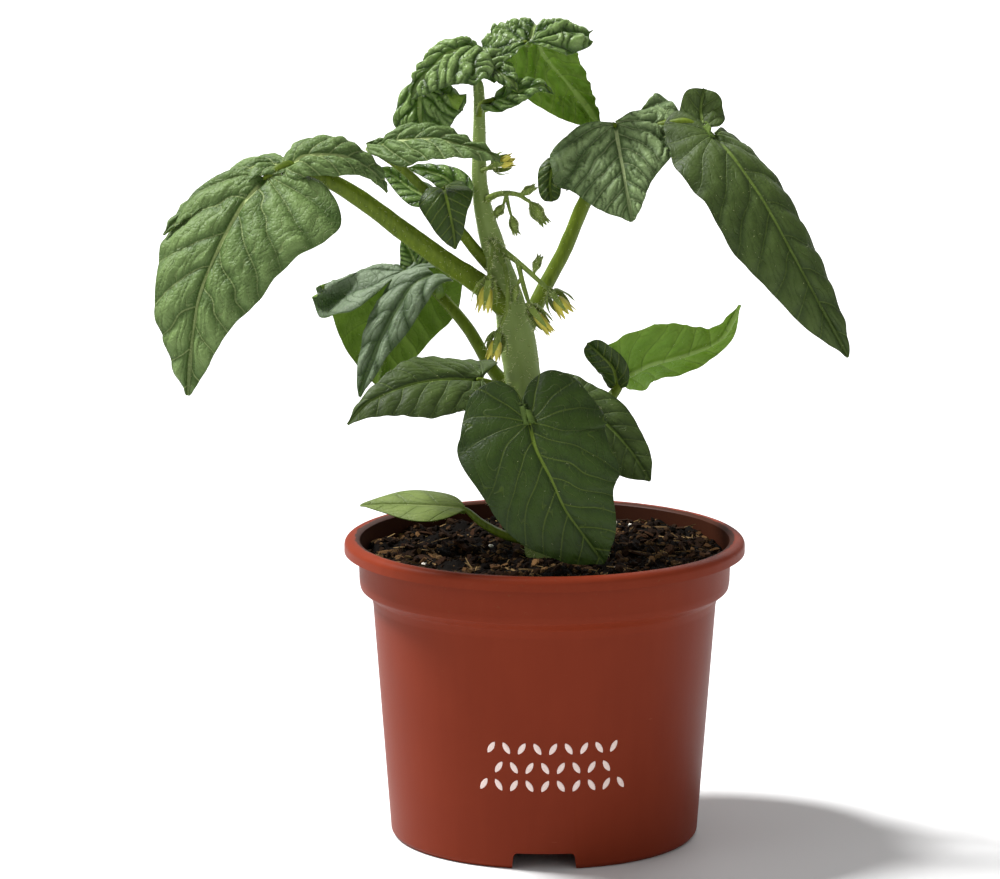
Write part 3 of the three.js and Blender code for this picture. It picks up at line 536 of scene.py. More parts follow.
class Skin(Enum):
    """The leaf skins on the plant, from the oldest leaves to the growing tip. Some are lit and
    shaded copies of one green: the deep and the shaded skins paint the shade that their leaves lie
    in, the deep one partly also the old leaves' own darker green; the quilted skin is a lighter
    copy of the full one with painted light; the dusky skin's grey top is partly the leaf's own
    grey-green and partly a painted sky reflection.
    """

    # Painted shade, partly also the old leaves' own darker green.
    DEEP = LeafFinish("leaf_deep", srgb(54, 76, 16), srgb(34, 52, 8), srgb(110, 132, 44),
                      srgb(88, 110, 42), srgb(62, 82, 28), srgb(92, 138, 14), glow_share=0.2,
                      roughness=0.5, bloom=0.02, side_vein=0.45, grain=0.5, crease_shade=0.15)
    # A lighter copy of the full skin: painted light on a leaf turned away from the key light.
    QUILTED = LeafFinish("leaf_quilted", srgb(138, 160, 106), srgb(58, 80, 36),
                         srgb(176, 192, 134), srgb(104, 128, 50), srgb(74, 98, 34),
                         srgb(98, 136, 40), glow_share=0.22, bloom=0.03, side_vein=0.35,
                         crease_shade=0.75)
    FULL = LeafFinish("leaf_full", srgb(114, 138, 78), srgb(60, 84, 30), srgb(168, 184, 118),
                      srgb(104, 128, 50), srgb(74, 98, 34), srgb(98, 136, 26),
                      glow_share=0.22, bloom=0.02, side_vein=0.45, crease_shade=0.35)
    # A darker copy of the full skin: painted shade for leaves turned away from the light.
    SHADED = LeafFinish("leaf_shaded", srgb(70, 88, 34), srgb(42, 58, 14), srgb(104, 126, 50),
                        srgb(100, 124, 48), srgb(72, 94, 32), srgb(96, 134, 24), glow_share=0.2,
                        roughness=0.58, bloom=0.02, side_vein=0.35, grain=0.4, crease_shade=0.2)
    # Grey top: partly the leaf's own grey-green, partly a painted sky reflection.
    DUSKY = LeafFinish("leaf_dusky", srgb(132, 148, 120), srgb(58, 76, 46), srgb(112, 132, 90),
                       srgb(112, 140, 50), srgb(84, 110, 34), srgb(134, 164, 36),
                       glow_share=0.34, side_vein=0.05, grain=0.7, crease_shade=0.9)
    YOUNG = LeafFinish("leaf_young", srgb(142, 168, 100), srgb(36, 58, 12), srgb(150, 170, 100),
                       srgb(126, 156, 58), srgb(94, 122, 38), srgb(150, 188, 36),
                       glow_share=0.34, roughness=0.34, bloom=0.03, side_vein=0.05, grain=0.8,
                       crease_shade=0.8)
    SEED = LeafFinish("leaf_seed", srgb(116, 132, 64), srgb(94, 110, 46), srgb(132, 146, 82),
                      srgb(112, 142, 42), srgb(84, 112, 26), srgb(132, 176, 20), glow_share=0.2,
                      roughness=0.55, bloom=0.02, side_vein=0, grain=0.3, crease_shade=0)


class Green(Enum):
    """Skins of the stem, the stalks and the flowers' green parts."""

    STEM = SkinFinish("stem_skin", srgb(134, 151, 4), srgb(84, 100, 0))
    STALK = SkinFinish("stalk_skin", srgb(100, 118, 28), srgb(64, 82, 12))
    FLOWER = SkinFinish("flower_green", srgb(122, 140, 66), srgb(72, 90, 36))


HAIR = HairFinish("pale_hair", srgb(230, 232, 190), srgb(180, 190, 112))
PETAL = PlainFinish("petal_yellow", srgb(216, 208, 84), srgb(180, 172, 56), roughness=0.5,
                    per_mm=0.4, depth_mm=0.05, glow_share=0.25)
ANTHER = PlainFinish("anther_yellow", srgb(204, 200, 80), srgb(150, 150, 48), roughness=0.45,
                     per_mm=1.2, depth_mm=0.05, glow_share=0.1)
PRINT = PlainFinish("white_print", srgb(232, 214, 208), srgb(214, 190, 182), roughness=0.5,
                    per_mm=1.5, depth_mm=0.01)
SOIL = CrumbFinish("soil_bed", ((0.0, srgb(8, 5, 3)), (0.55, srgb(20, 12, 7)),
                                (1.0, srgb(34, 22, 13))))
CRUMBS = CrumbFinish("soil_crumbs", ((0.0, srgb(8, 5, 3)), (0.6, srgb(28, 17, 10)),
                                     (0.88, srgb(50, 34, 20)), (1.0, srgb(92, 70, 44))))
BARK = CrumbFinish("bark", ((0.0, srgb(20, 12, 7)), (0.65, srgb(50, 31, 18)),
                            (1.0, srgb(106, 78, 48))))
FIBRE = CrumbFinish("fibre", ((0.0, srgb(40, 27, 16)), (1.0, srgb(128, 104, 68))), 0.75)
PERLITE = CrumbFinish("perlite", ((0.0, srgb(200, 190, 172)), (1.0, srgb(240, 236, 226))))


# Curves and noise

class Curve:
    """A smooth curve through points, each with three or more numbers."""

    steps = np.linspace(0, 1, 201)
    nudge = 1e-3

    def __init__(self, points: tuple) -> None:
        """Keeps the points and measures the curve."""
        self.points = np.array(points, float)
        ends = (2 * self.points[0] - self.points[1], 2 * self.points[-1] - self.points[-2])
        self.padded = np.vstack([ends[0], self.points, ends[1]])
        spots = self.at(self.steps)[:, :3]
        self.reach = np.append(0, np.cumsum(np.linalg.norm(np.diff(spots, axis=0), axis=1)))

    @property
    def length(self) -> float:
        """The curve's length."""
        return float(self.reach[-1])

    def at(self, share: Array) -> Array:
        """Points at shares of the way from the first point to the last, counted by points."""
        spans = len(self.points) - 1
        scaled = np.clip(share, 0, 1) * spans
        first = np.minimum(scaled.astype(int), spans - 1)
        w = (scaled - first)[..., None]
        a, b, c, d = (self.padded[first + k] for k in range(4))
        start, stop = (c - a) / 2, (d - b) / 2
        return (b + start * w + (3 * (c - b) - 2 * start - stop) * w ** 2
                + (2 * (b - c) + start + stop) * w ** 3)

    def share_at(self, along: Array) -> Array:
        """The share by points that lies at a share of the length."""
        return np.interp(np.asarray(along) * self.length, self.reach, self.steps)

    def along(self, share: Array) -> Array:
        """Points at shares of the curve's length."""
        return self.at(self.share_at(share))

    def tangent(self, share: Array) -> Array:
        """Directions at shares of the curve's length."""
        centre = self.share_at(share)
        ahead = self.at(np.minimum(centre + self.nudge, 1))[..., :3]
        behind = self.at(np.maximum(centre - self.nudge, 0))[..., :3]
        return unit(ahead - behind)


def unit(vectors: Array) -> Array:
    """The vectors at length one."""
    return vectors / np.maximum(np.linalg.norm(vectors, axis=-1, keepdims=True), 1e-12)


CELL_PRIMES = np.array((73856093, 19349663, 83492791))
"""Large numbers that mix the three numbers of a noise cell into one."""
BIT_SPREAD = 2654435761
"""A large number that spreads the mixed number's bits, of which 24 are kept."""


def wander(points: Array, size: float, seed: int = 0) -> Array:
    """Soft noise from -1 to 1 at points.

    Args:
        points: places in millimetres.
        size: the width of a lump in millimetres.
        seed: picks the pattern.

    Returns:
        One number a point.
    """
    scaled = np.asarray(points, float) / size + seed * 17.3
    base = np.floor(scaled).astype(np.int64)
    inner = scaled - base
    inner = inner * inner * (3 - 2 * inner)
    total = np.zeros(scaled.shape[:-1])
    for corner in np.ndindex(2, 2, 2):
        mixed = np.bitwise_xor.reduce((base + np.array(corner)) * CELL_PRIMES, axis=-1)
        value = ((mixed * BIT_SPREAD) & 0xFFFFFF) / 0x7FFFFF - 1
        weight = np.ones_like(value)
        for axis, side in enumerate(corner):
            weight = weight * (inner[..., axis] if side else 1 - inner[..., axis])
        total += value * weight
    return total


# Meshes

MARKS = (("veins", 3), ("place", 3), ("fuzz", 1), ("relief", 1))
"""What a mesh can hold at each point, and how many numbers it takes."""


@dataclass
class Patch:
    """One closed part of a mesh, in millimetres, with the numbers it holds at each point."""

    points: Array
    quads: Array
    marks: dict[str, Array]
    skin: int = 0
    triangles: Optional[Array] = None

    def turned_outwards(self) -> "Patch":
        """The patch with its faces outwards."""
        p = self.points
        halves = [self.quads[:, [0, 1, 2]], self.quads[:, [0, 2, 3]]]
        if self.triangles is not None:
            halves.append(self.triangles)
        faces = np.vstack(halves)
        a, b, c = (p[faces[:, k]] for k in range(3))
        if np.einsum("ij,ij->i", a, np.cross(b, c)).sum() < 0:
            self.quads = self.quads[:, ::-1]
            if self.triangles is not None:
                self.triangles = self.triangles[:, ::-1]
        return self


def grid_faces(rows: int, columns: int, closed: bool = False) -> Array:
    """Four-cornered faces of a grid of points, its last column joined to its first if closed."""
    i, j = np.meshgrid(np.arange(rows - 1), np.arange(columns if closed else columns - 1),
                       indexing="ij")
    ahead = (j + 1) % columns
    corners = [i * columns + j, i * columns + ahead, (i + 1) * columns + ahead,
               (i + 1) * columns + j]
    return np.stack(corners, axis=-1).reshape(-1, 4)


def sheet_patch(top: Array, bottom: Array, marks: dict[str, Array],
                marks_below: dict[str, Array], skin: int = 0) -> Patch:
    """A thin closed sheet between two grids of points.

    Args:
        top: rows by columns of points.
        bottom: the same grid on the other face.
        marks: numbers at the top's points.
        marks_below: numbers at the bottom's points.
        skin: which material it takes.

    Returns:
        The closed patch.
    """
    rows, columns = top.shape[:2]
    under = rows * columns
    faces = grid_faces(rows, columns)
    rim = [np.arange(columns), np.arange(1, rows) * columns + columns - 1,
           (rows - 1) * columns + np.arange(columns - 2, -1, -1),
           np.arange(rows - 2, 0, -1) * columns]
    loop = np.concatenate(rim)
    after = np.roll(loop, -1)
    sides = np.stack([loop, loop + under, after + under, after], axis=-1)
    points = np.vstack([top.reshape(-1, 3), bottom.reshape(-1, 3)])
    both = {name: np.vstack([flat_rows(marks[name], under), flat_rows(marks_below[name], under)])
            for name in marks}
    return Patch(points, np.vstack([faces, faces[:, ::-1] + under, sides]), both,
                 skin).turned_outwards()


def ring_patch(rings: Array, middles: Optional[Array] = None, skin: int = 0) -> Patch:
    """A closed body of rings of points, its ends closed by fans of faces.

    Args:
        rings: rows by points of a ring.
        middles: the middles of the two ends, or else the mean of each end's ring.
        skin: which material it takes.

    Returns:
        The patch, without marks.
    """
    rows, sides = rings.shape[:2]
    if middles is None:
        middles = np.array([rings[0].mean(axis=0), rings[-1].mean(axis=0)])
    here = np.arange(sides)
    after = (here + 1) % sides
    last = (rows - 1) * sides
    first_fan = np.stack([np.full_like(here, rows * sides), after, here], axis=-1)
    last_fan = np.stack([np.full_like(here, rows * sides + 1), last + here, last + after], axis=-1)
    return Patch(np.vstack([rings.reshape(-1, 3), middles]), grid_faces(rows, sides, closed=True),
                 {}, skin, np.vstack([first_fan, last_fan])).turned_outwards()


def prism_patch(ends: Array) -> Patch:
    """A closed body between two equal outlines."""
    count = ends.shape[1]
    cap = np.array([(0, k, k + 1) for k in range(1, count - 1)])
    return Patch(ends.reshape(-1, 3), grid_faces(2, count, closed=True), {}, 0,
                 np.vstack([cap, cap[:, ::-1] + count])).turned_outwards()


def turned_rings(profile: list[Pair], sides: int, centre: Pair = (0, 0)) -> Array:
    """Rings of points round an upright axis, one for each (radius, height) of a profile."""
    turn = np.linspace(0, 2 * np.pi, sides, endpoint=False)
    radius, height = np.array(profile, float).T[..., None]
    return np.stack([centre[0] + radius * np.cos(turn), centre[1] + radius * np.sin(turn),
                     height + 0 * turn], axis=-1)


def flat_rows(values: Array, count: int) -> Array:
    """Values as one row a point."""
    return np.asarray(values, float).reshape(count, -1)


def no_marks(count: int, fuzz: Union[float, Array] = 1.0) -> dict[str, Array]:
    """Marks of a part without veins."""
    return {"fuzz": np.broadcast_to(np.asarray(fuzz, float).reshape(-1, 1), (count, 1)).copy()}


class Shell:
    """Patches that become one mesh object."""

    def __init__(self, name: str) -> None:
        """Starts an empty shell."""
        self.name = name
        self.patches: list[Patch] = []

    def add(self, *patches: Patch) -> "Shell":
        """Adds closed patches."""
        self.patches.extend(patches)
        return self

    def build(self, skins: list[Material]) -> Object:
        """Makes the object.

        Args:
            skins: its materials, in the order that the patches count them.

        Returns:
            The object, linked to the scene.
        """
        starts = np.cumsum([0] + [len(p.points) for p in self.patches])
        points = np.vstack([p.points for p in self.patches]) * MM
        corners, sizes, skin_of = [], [], []
        for start, patch in zip(starts, self.patches):
            for faces in (patch.quads, patch.triangles):
                if faces is not None and len(faces):
                    corners.append((faces + start).ravel())
                    sizes.append(np.full(len(faces), faces.shape[1]))
                    skin_of.append(np.full(len(faces), patch.skin))
        size = np.concatenate(sizes)
        mesh = bpy.data.meshes.new(self.name)
        mesh.vertices.add(len(points))
        mesh.vertices.foreach_set("co", points.ravel())
        mesh.loops.add(int(size.sum()))
        mesh.loops.foreach_set("vertex_index", np.concatenate(corners).astype(np.int32))
        mesh.polygons.add(len(size))
        firsts = np.append(0, np.cumsum(size)[:-1])
        mesh.polygons.foreach_set("loop_start", firsts.astype(np.int32))
        mesh.polygons.foreach_set("material_index", np.concatenate(skin_of).astype(np.int32))
        mesh.polygons.foreach_set("use_smooth", np.ones(len(size), bool))
        mesh.update(calc_edges=True)
        for skin in skins:
            mesh.materials.append(skin)
        for name, width in MARKS:
            if any(name in p.marks for p in self.patches):
                values = np.vstack([p.marks.get(name, np.zeros((len(p.points), width)))
                                    for p in self.patches])
                if name == "fuzz":
                    values = values * well_inside(points)[:, None]
                kind, field = ("FLOAT_VECTOR", "vector") if width == 3 else ("FLOAT", "value")
                layer = mesh.attributes.new(name, kind, "POINT")
                layer.data.foreach_set(field, values.ravel())
        return in_scene(self.name, mesh)


def in_scene(name: str, data: bpy.types.ID) -> Object:
    """A new object of the scene."""
    made = bpy.data.objects.new(name, data)
    bpy.context.scene.collection.objects.link(made)
    return made


def well_inside(points: Array, margin_mm: float = 1.2) -> Array:
    """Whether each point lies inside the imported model's box with room for a hair."""
    low, high = (np.array(corner) for corner in CAD_BOX)
    room = margin_mm * MM
    return np.all((points > low + room) & (points < high - room), axis=1)


def points_of(piece: Object) -> Array:
    """The mesh's points in metres, one a row."""
    points = np.empty(len(piece.data.vertices) * 3)
    piece.data.vertices.foreach_get("co", points)
    return points.reshape(-1, 3)


def move_points(piece: Object, points: Array) -> None:
    """Gives the mesh new places for its points."""
    piece.data.vertices.foreach_set("co", points.ravel())
    piece.data.update()


def set_faces(piece: Object, name: str, value: Union[bool, int]) -> None:
    """Gives every face of the mesh the same value."""
    faces = piece.data.polygons
    faces.foreach_set(name, np.full(len(faces), value))


def place_piece(piece: Object, slot: str, *nodes: str) -> Object:
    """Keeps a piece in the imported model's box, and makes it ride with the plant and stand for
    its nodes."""
    move_points(piece, np.clip(points_of(piece), *CAD_BOX))
    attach(piece, BODY)
    if nodes:
        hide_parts(*nodes)
    log.info("%s: %d faces", piece.name, len(piece.data.polygons))
    return piece


def baked(source: Object, name: str) -> Object:
    """A plain mesh object from what an object's modifiers give."""
    graph = bpy.context.evaluated_depsgraph_get()
    mesh = bpy.data.meshes.new_from_object(source.evaluated_get(graph))
    mesh.name = name
    return in_scene(name, mesh)


# Scattered bits

FULL_TURN = 6.283
EITHER_WAY = ((-1, -1, -1), (1, 1, 1))


class ScatterTree(Tree):
    """Geometry nodes that set copies of a bit on a surface."""

    inputs = (("Geometry", "NodeSocketGeometry", None), ("Bit", "NodeSocketObject", None),
              ("Density", "NodeSocketFloat", 1e5), ("Smallest", "NodeSocketFloat", 0.5),
              ("Largest", "NodeSocketFloat", 1.0), ("Uneven", "NodeSocketFloat", 0.0),
              ("Lean", "NodeSocketFloat", 0.4), ("Seed", "NodeSocketInt", 1),
              ("Material", "NodeSocketMaterial", None))

    def __init__(self) -> None:
        """Builds the tree."""
        super().__init__(bpy.data.node_groups.new("scatter", "GeometryNodeTree"))
        self.ids = {}
        for name, kind, value in self.inputs:
            socket = self.tree.interface.new_socket(name, in_out="INPUT", socket_type=kind)
            self.ids[name] = socket.identifier
            if value is not None:
                socket.default_value = value
        self.tree.interface.new_socket("Geometry", in_out="OUTPUT",
                                       socket_type="NodeSocketGeometry")
        self.wire(self.node("NodeGroupInput").outputs)

    def vector(self, operation: str, first: Union[NodeSocket, Triple],
               second: Union[NodeSocket, Triple]) -> NodeSocket:
        """A vector sum or product."""
        inputs = {"Vector": first, "Vector_001": second}
        return self.node("ShaderNodeVectorMath", {"operation": operation}, inputs).outputs[0]

    def chance(self, kind: str, low: object, high: object, seed: int) -> NodeSocket:
        """A random float or vector for each copy."""
        tail = "" if kind == "FLOAT_VECTOR" else "_001"
        made = self.node("FunctionNodeRandomValue", {"data_type": kind},
                         {"Min" + tail: low, "Max" + tail: high, "Seed": seed})
        return self.find(made.outputs, "Value" + tail)

    def wire(self, given: bpy_prop_collection) -> None:
        """Joins the nodes from the tree's inputs to the finished copies."""
        fuzz = self.node("GeometryNodeInputNamedAttribute", {"data_type": "FLOAT"},
                         {"Name": "fuzz"})
        density = self.node("ShaderNodeMath", {"operation": "MULTIPLY"},
                            {"Value": given["Density"], "Value_001": fuzz.outputs[0]})
        spots = self.node("GeometryNodeDistributePointsOnFaces", None,
                          {"Mesh": given["Geometry"], "Density": density.outputs[0],
                           "Seed": given["Seed"]})
        stray = self.chance("FLOAT_VECTOR", *EITHER_WAY, seed=3)
        lean = self.vector("MULTIPLY", stray, given["Lean"])
        turned = self.node("FunctionNodeAlignRotationToVector", {"axis": "Z"},
                           {"Vector": self.vector("ADD", spots.outputs["Normal"], lean)})
        spin = self.node("FunctionNodeAxisAngleToRotation", None,
                         {"Axis": (0, 0, 1),
                          "Angle": self.chance("FLOAT", 0.0, FULL_TURN, seed=5)})
        placed = self.node("FunctionNodeRotateRotation", {"rotation_space": "LOCAL"},
                           {"Rotation": turned.outputs[0], "Rotate By": spin.outputs[0]})
        uneven = self.vector("MULTIPLY", self.chance("FLOAT_VECTOR", *EITHER_WAY, seed=7),
                             given["Uneven"])
        size = self.vector("MULTIPLY", self.vector("ADD", (1, 1, 1), uneven),
                           self.chance("FLOAT", given["Smallest"], given["Largest"], seed=9))
        bit = self.node("GeometryNodeObjectInfo", None, {"Object": given["Bit"]})
        copies = self.node("GeometryNodeInstanceOnPoints", None,
                           {"Points": spots.outputs["Points"],
                            "Instance": bit.outputs["Geometry"],
                            "Rotation": placed.outputs[0], "Scale": size})
        shaded = self.node("GeometryNodeStoreNamedAttribute",
                           {"data_type": "FLOAT", "domain": "INSTANCE"},
                           {"Geometry": copies.outputs[0], "Name": "shade",
                            "Value": self.chance("FLOAT", 0.0, 1.0, seed=11)})
        real = self.node("GeometryNodeRealizeInstances", None, {"Geometry": shaded.outputs[0]})
        dressed = self.node("GeometryNodeSetMaterial", None,
                            {"Geometry": real.outputs[0], "Material": given["Material"]})
        self.node("NodeGroupOutput", None, {"Geometry": dressed.outputs[0]})


@dataclass
class Scatter:
    """One strewing of a bit over a surface, with sizes in millimetres."""

    name: str
    bit: Object
    per_cm2: float
    smallest: float
    largest: float
    material: Material
    uneven: float
    lean: float
    seed: int

    def over(self, tree: ScatterTree, surface: Object) -> Object:
        """Strews the bit over a surface.

        Args:
            tree: the geometry nodes that do it.
            surface: the object that is strewn.

        Returns:
            A plain mesh object of all the copies.
        """
        host = in_scene(self.name + "_host", surface.data)
        modifier = host.modifiers.new("scatter", "NODES")
        modifier.node_group = tree.tree
        values = {"Bit": self.bit, "Density": self.per_cm2 * PER_M2,
                  "Smallest": self.smallest * MM, "Largest": self.largest * MM,
                  "Uneven": self.uneven, "Lean": self.lean, "Seed": self.seed,
                  "Material": self.material}
        for key, value in values.items():
            modifier[tree.ids[key]] = value
        made = baked(host, self.name)
        bpy.data.objects.remove(host)
        return made


class Bits:
    """Small shapes, each about one unit long, that are strewn and then removed."""

    def __init__(self) -> None:
        """Builds the shapes."""
        self.hair = self.spike("hair_bit", 0.05, (0.0, 0.35, 1.0), (1.0, 0.75, 0.12), 0.12)
        self.crumb = self.lump("crumb_bit")
        self.chip = self.slab("chip_bit")
        self.fibre = self.spike("fibre_bit", 0.035, (0.0, 0.3, 0.65, 1.0), (0.7, 1, 1, 0.5), 0.3,
                                lying=True)

    @staticmethod
    def unit_object(name: str, points: list, faces: list) -> Object:
        """An object in its own units, kept out of the scene."""
        mesh = bpy.data.meshes.new(name)
        mesh.from_pydata(points, [], faces)
        return bpy.data.objects.new(name, mesh)

    def spike(self, name: str, radius: float, places: tuple, widths: tuple, bend: float,
              lying: bool = False) -> Object:
        """A thin three-sided spike along Z, or along X if lying."""
        points, faces = [], []
        for place, width in zip(places, widths):
            for k in range(3):
                turn = 2 * math.pi * k / 3
                x = radius * width * math.cos(turn) + bend * place * place
                y = radius * width * math.sin(turn)
                points.append((place - 0.5, x - bend / 3, y) if lying else (x, y, place))
        last = len(places) - 1
        for i in range(last):
            for k in range(3):
                a, b = 3 * i + k, 3 * i + (k + 1) % 3
                faces.append((a, b, b + 3, a + 3))
        faces += [(2, 1, 0), (3 * last, 3 * last + 1, 3 * last + 2)]
        return self.unit_object(name, points, faces)

    def lump(self, name: str) -> Object:
        """An uneven crumb of about one unit across."""
        gold = (1 + 5 ** 0.5) / 2
        base = [(-1, gold, 0), (1, gold, 0), (-1, -gold, 0), (1, -gold, 0), (0, -1, gold),
                (0, 1, gold), (0, -1, -gold), (0, 1, -gold), (gold, 0, -1), (gold, 0, 1),
                (-gold, 0, -1), (-gold, 0, 1)]
        faces = [(0, 11, 5), (0, 5, 1), (0, 1, 7), (0, 7, 10), (0, 10, 11), (1, 5, 9),
                 (5, 11, 4), (11, 10, 2), (10, 7, 6), (7, 1, 8), (3, 9, 4), (3, 4, 2),
                 (3, 2, 6), (3, 6, 8), (3, 8, 9), (4, 9, 5), (2, 4, 11), (6, 2, 10),
                 (8, 6, 7), (9, 8, 1)]
        points = [tuple(0.26 * v * (0.8 + 0.35 * ((i * 7) % 5) / 4) for v in p)
                  for i, p in enumerate(base)]
        return self.unit_object(name, points, faces)

    def slab(self, name: str) -> Object:
        """A flat splinter of bark, one unit long."""
        outline = [(-0.5, -0.1), (-0.2, -0.24), (0.25, -0.2), (0.5, -0.02), (0.34, 0.2),
                   (-0.1, 0.26), (-0.42, 0.12)]
        count = len(outline)
        points = [(x, y, -0.05) for x, y in outline]
        points += [(x * 0.86, y * 0.8, 0.06 + 0.04 * x) for x, y in outline]
        faces = [tuple(reversed(range(count))), tuple(range(count, 2 * count))]
        faces += [(i, (i + 1) % count, count + (i + 1) % count, count + i) for i in range(count)]
        return self.unit_object(name, points, faces)

    def remove(self) -> None:
        """Removes the shapes once all is strewn."""
        for bit in (self.hair, self.crumb, self.chip, self.fibre):
            bpy.data.objects.remove(bit)


# Stalks and leaflets

CAP_RINGS = ((0.22, 0.8), (0.34, 0.4))
"""Rings that round off a stalk's end: how far past it and how wide, as shares of its radius."""
ACROSS = (1, 0.2, 0.1)
"""A direction that no stalk takes, from which its first ring is laid out."""


@dataclass(frozen=True)
class Stalk:
    """A round stalk through points (x, y, z, radius), all in millimetres."""

    points: tuple
    sides: int = 18
    flare: float = 0.25
    ridges: int = 5
    ridge: float = 0.04
    skin: int = 0
    fuzz: float = 1.0
    step: float = 0.7
    flare_reach: float = 2.2
    taper: float = 0.5
    taper_mm: float = 1.1
    rough: float = 0.05

    def patch(self) -> Patch:
        """The stalk as a closed tube with rounded ends."""
        curve = Curve(self.points)
        share = np.linspace(0, 1, max(int(curve.length / self.step), 8) + 1)
        spots = curve.along(share)
        centre, radius = spots[:, :3], spots[:, 3]
        flare = np.exp(-share * curve.length / (self.flare_reach * radius[0]))
        radius = radius * (1 + self.flare * flare)
        taper = np.exp(-(1 - share) * curve.length / self.taper_mm)
        radius = radius * (1 - self.taper * taper)
        tangent = curve.tangent(share)
        across = np.array(ACROSS, float)
        firsts = []
        for direction in tangent:
            across = across - across.dot(direction) * direction
            across = across / np.linalg.norm(across)
            firsts.append(across)
        first = np.array(firsts)
        second = np.cross(tangent, first)
        turn = np.linspace(0, 2 * np.pi, self.sides, endpoint=False)
        out = (first[:, None] * np.cos(turn)[None, :, None]
               + second[:, None] * np.sin(turn)[None, :, None])
        swell = 1 + self.ridge * np.cos(self.ridges * turn)[None, :]
        body = centre[:, None] + out * (radius[:, None] * swell)[..., None]
        body = body + out * (self.rough * radius[:, None] * wander(body, 3.1, 4))[..., None]
        caps = []
        for end, sign in ((0, -1), (-1, 1)):
            for lift, shrink in CAP_RINGS:
                ring = centre[end] + (body[end] - centre[end]) * shrink
                caps.append(ring + tangent[end] * sign * lift * radius[end])
        grid = np.concatenate([[caps[1]], [caps[0]], body, [caps[2]], [caps[3]]])
        patch = ring_patch(grid, skin=self.skin)
        patch.marks = no_marks(len(patch.points), self.fuzz)
        return patch


ROWS_ON_RIB = (0, 0.04, 0.1, 0.2, 0.33, 0.48, 0.64, 0.82, 1)
"""Where each row of an outline leaves the rib, as a share of the rib's length."""
BASE, TIP = (0, 0.03), (1, 0.02)
"""Where the first and the last row of every outline meet the margin."""


class Margin(Enum):
    """Outlines of half a leaflet: for each row between the base and the tip, where it meets the
    margin, as a share of the rib's length along it and of the half width across it."""

    SHOULDER = ((-0.12, 0.35), (-0.2, 0.75), (-0.03, 0.97), (0.2, 1), (0.44, 0.74), (0.68, 0.44),
                (0.87, 0.2))
    HEART = ((-0.2, 0.05), (-0.31, 0.4), (-0.18, 0.83), (0.08, 1), (0.36, 0.95), (0.63, 0.74),
             (0.86, 0.4))
    LATE = ((0.03, 0.26), (0.1, 0.48), (0.22, 0.72), (0.38, 0.92), (0.58, 1), (0.77, 0.8),
            (0.92, 0.4))
    EARLY = ((-0.02, 0.45), (0.02, 0.8), (0.12, 1), (0.26, 0.94), (0.42, 0.72), (0.62, 0.46),
             (0.84, 0.24))
    CREST = ((-0.16, 0.35), (-0.36, 0.72), (-0.19, 0.97), (0.12, 0.98), (0.4, 0.68), (0.66, 0.38),
             (0.87, 0.17))
    BROAD = ((-0.1, 0.06), (-0.17, 0.35), (-0.1, 0.75), (0.07, 0.98), (0.3, 1), (0.54, 0.84),
             (0.8, 0.45))
    WING = ((-0.1, 0.3), (-0.18, 0.68), (-0.05, 0.98), (0.16, 1.04), (0.3, 0.86), (0.5, 0.7),
            (0.8, 0.36))
    DRAPED = ((-0.14, 0.3), (-0.26, 0.75), (-0.12, 1.05), (0.1, 0.95), (0.42, 1), (0.68, 0.85),
              (0.9, 0.42))
    OVAL = ((0, 0.42), (0.03, 0.72), (0.12, 0.94), (0.3, 1), (0.55, 0.99), (0.8, 0.86),
            (0.96, 0.52))
    EGG = ((-0.03, 0.36), (0, 0.66), (0.1, 0.9), (0.26, 1), (0.46, 0.92), (0.67, 0.68),
           (0.87, 0.34))
    LANCE = ((0.08, 0.42), (0.18, 0.74), (0.31, 0.96), (0.45, 1), (0.6, 0.84), (0.76, 0.55),
             (0.9, 0.28))
    SLANT = ((0.04, 0.46), (0.14, 0.84), (0.28, 1), (0.44, 0.96), (0.6, 0.8), (0.76, 0.55),
             (0.9, 0.28))
    LOBED = ((-0.1, 0.4), (-0.06, 0.9), (0.12, 1.1), (0.24, 0.9), (0.46, 0.74), (0.68, 0.46),
             (0.88, 0.2))

    def curve(self) -> Curve:
        """The outline as a curve of (place on the rib, along, across)."""
        spots = (BASE, *self.value, TIP)
        return Curve(tuple((on_rib, *spot) for on_rib, spot in zip(ROWS_ON_RIB, spots)))


CELL_MIX, HALF_MIX, DRIFT_MIX = 12.9898, 4.1, 2.1
"""Numbers that set off the small veins of each strip, and of each half, by their own amount."""


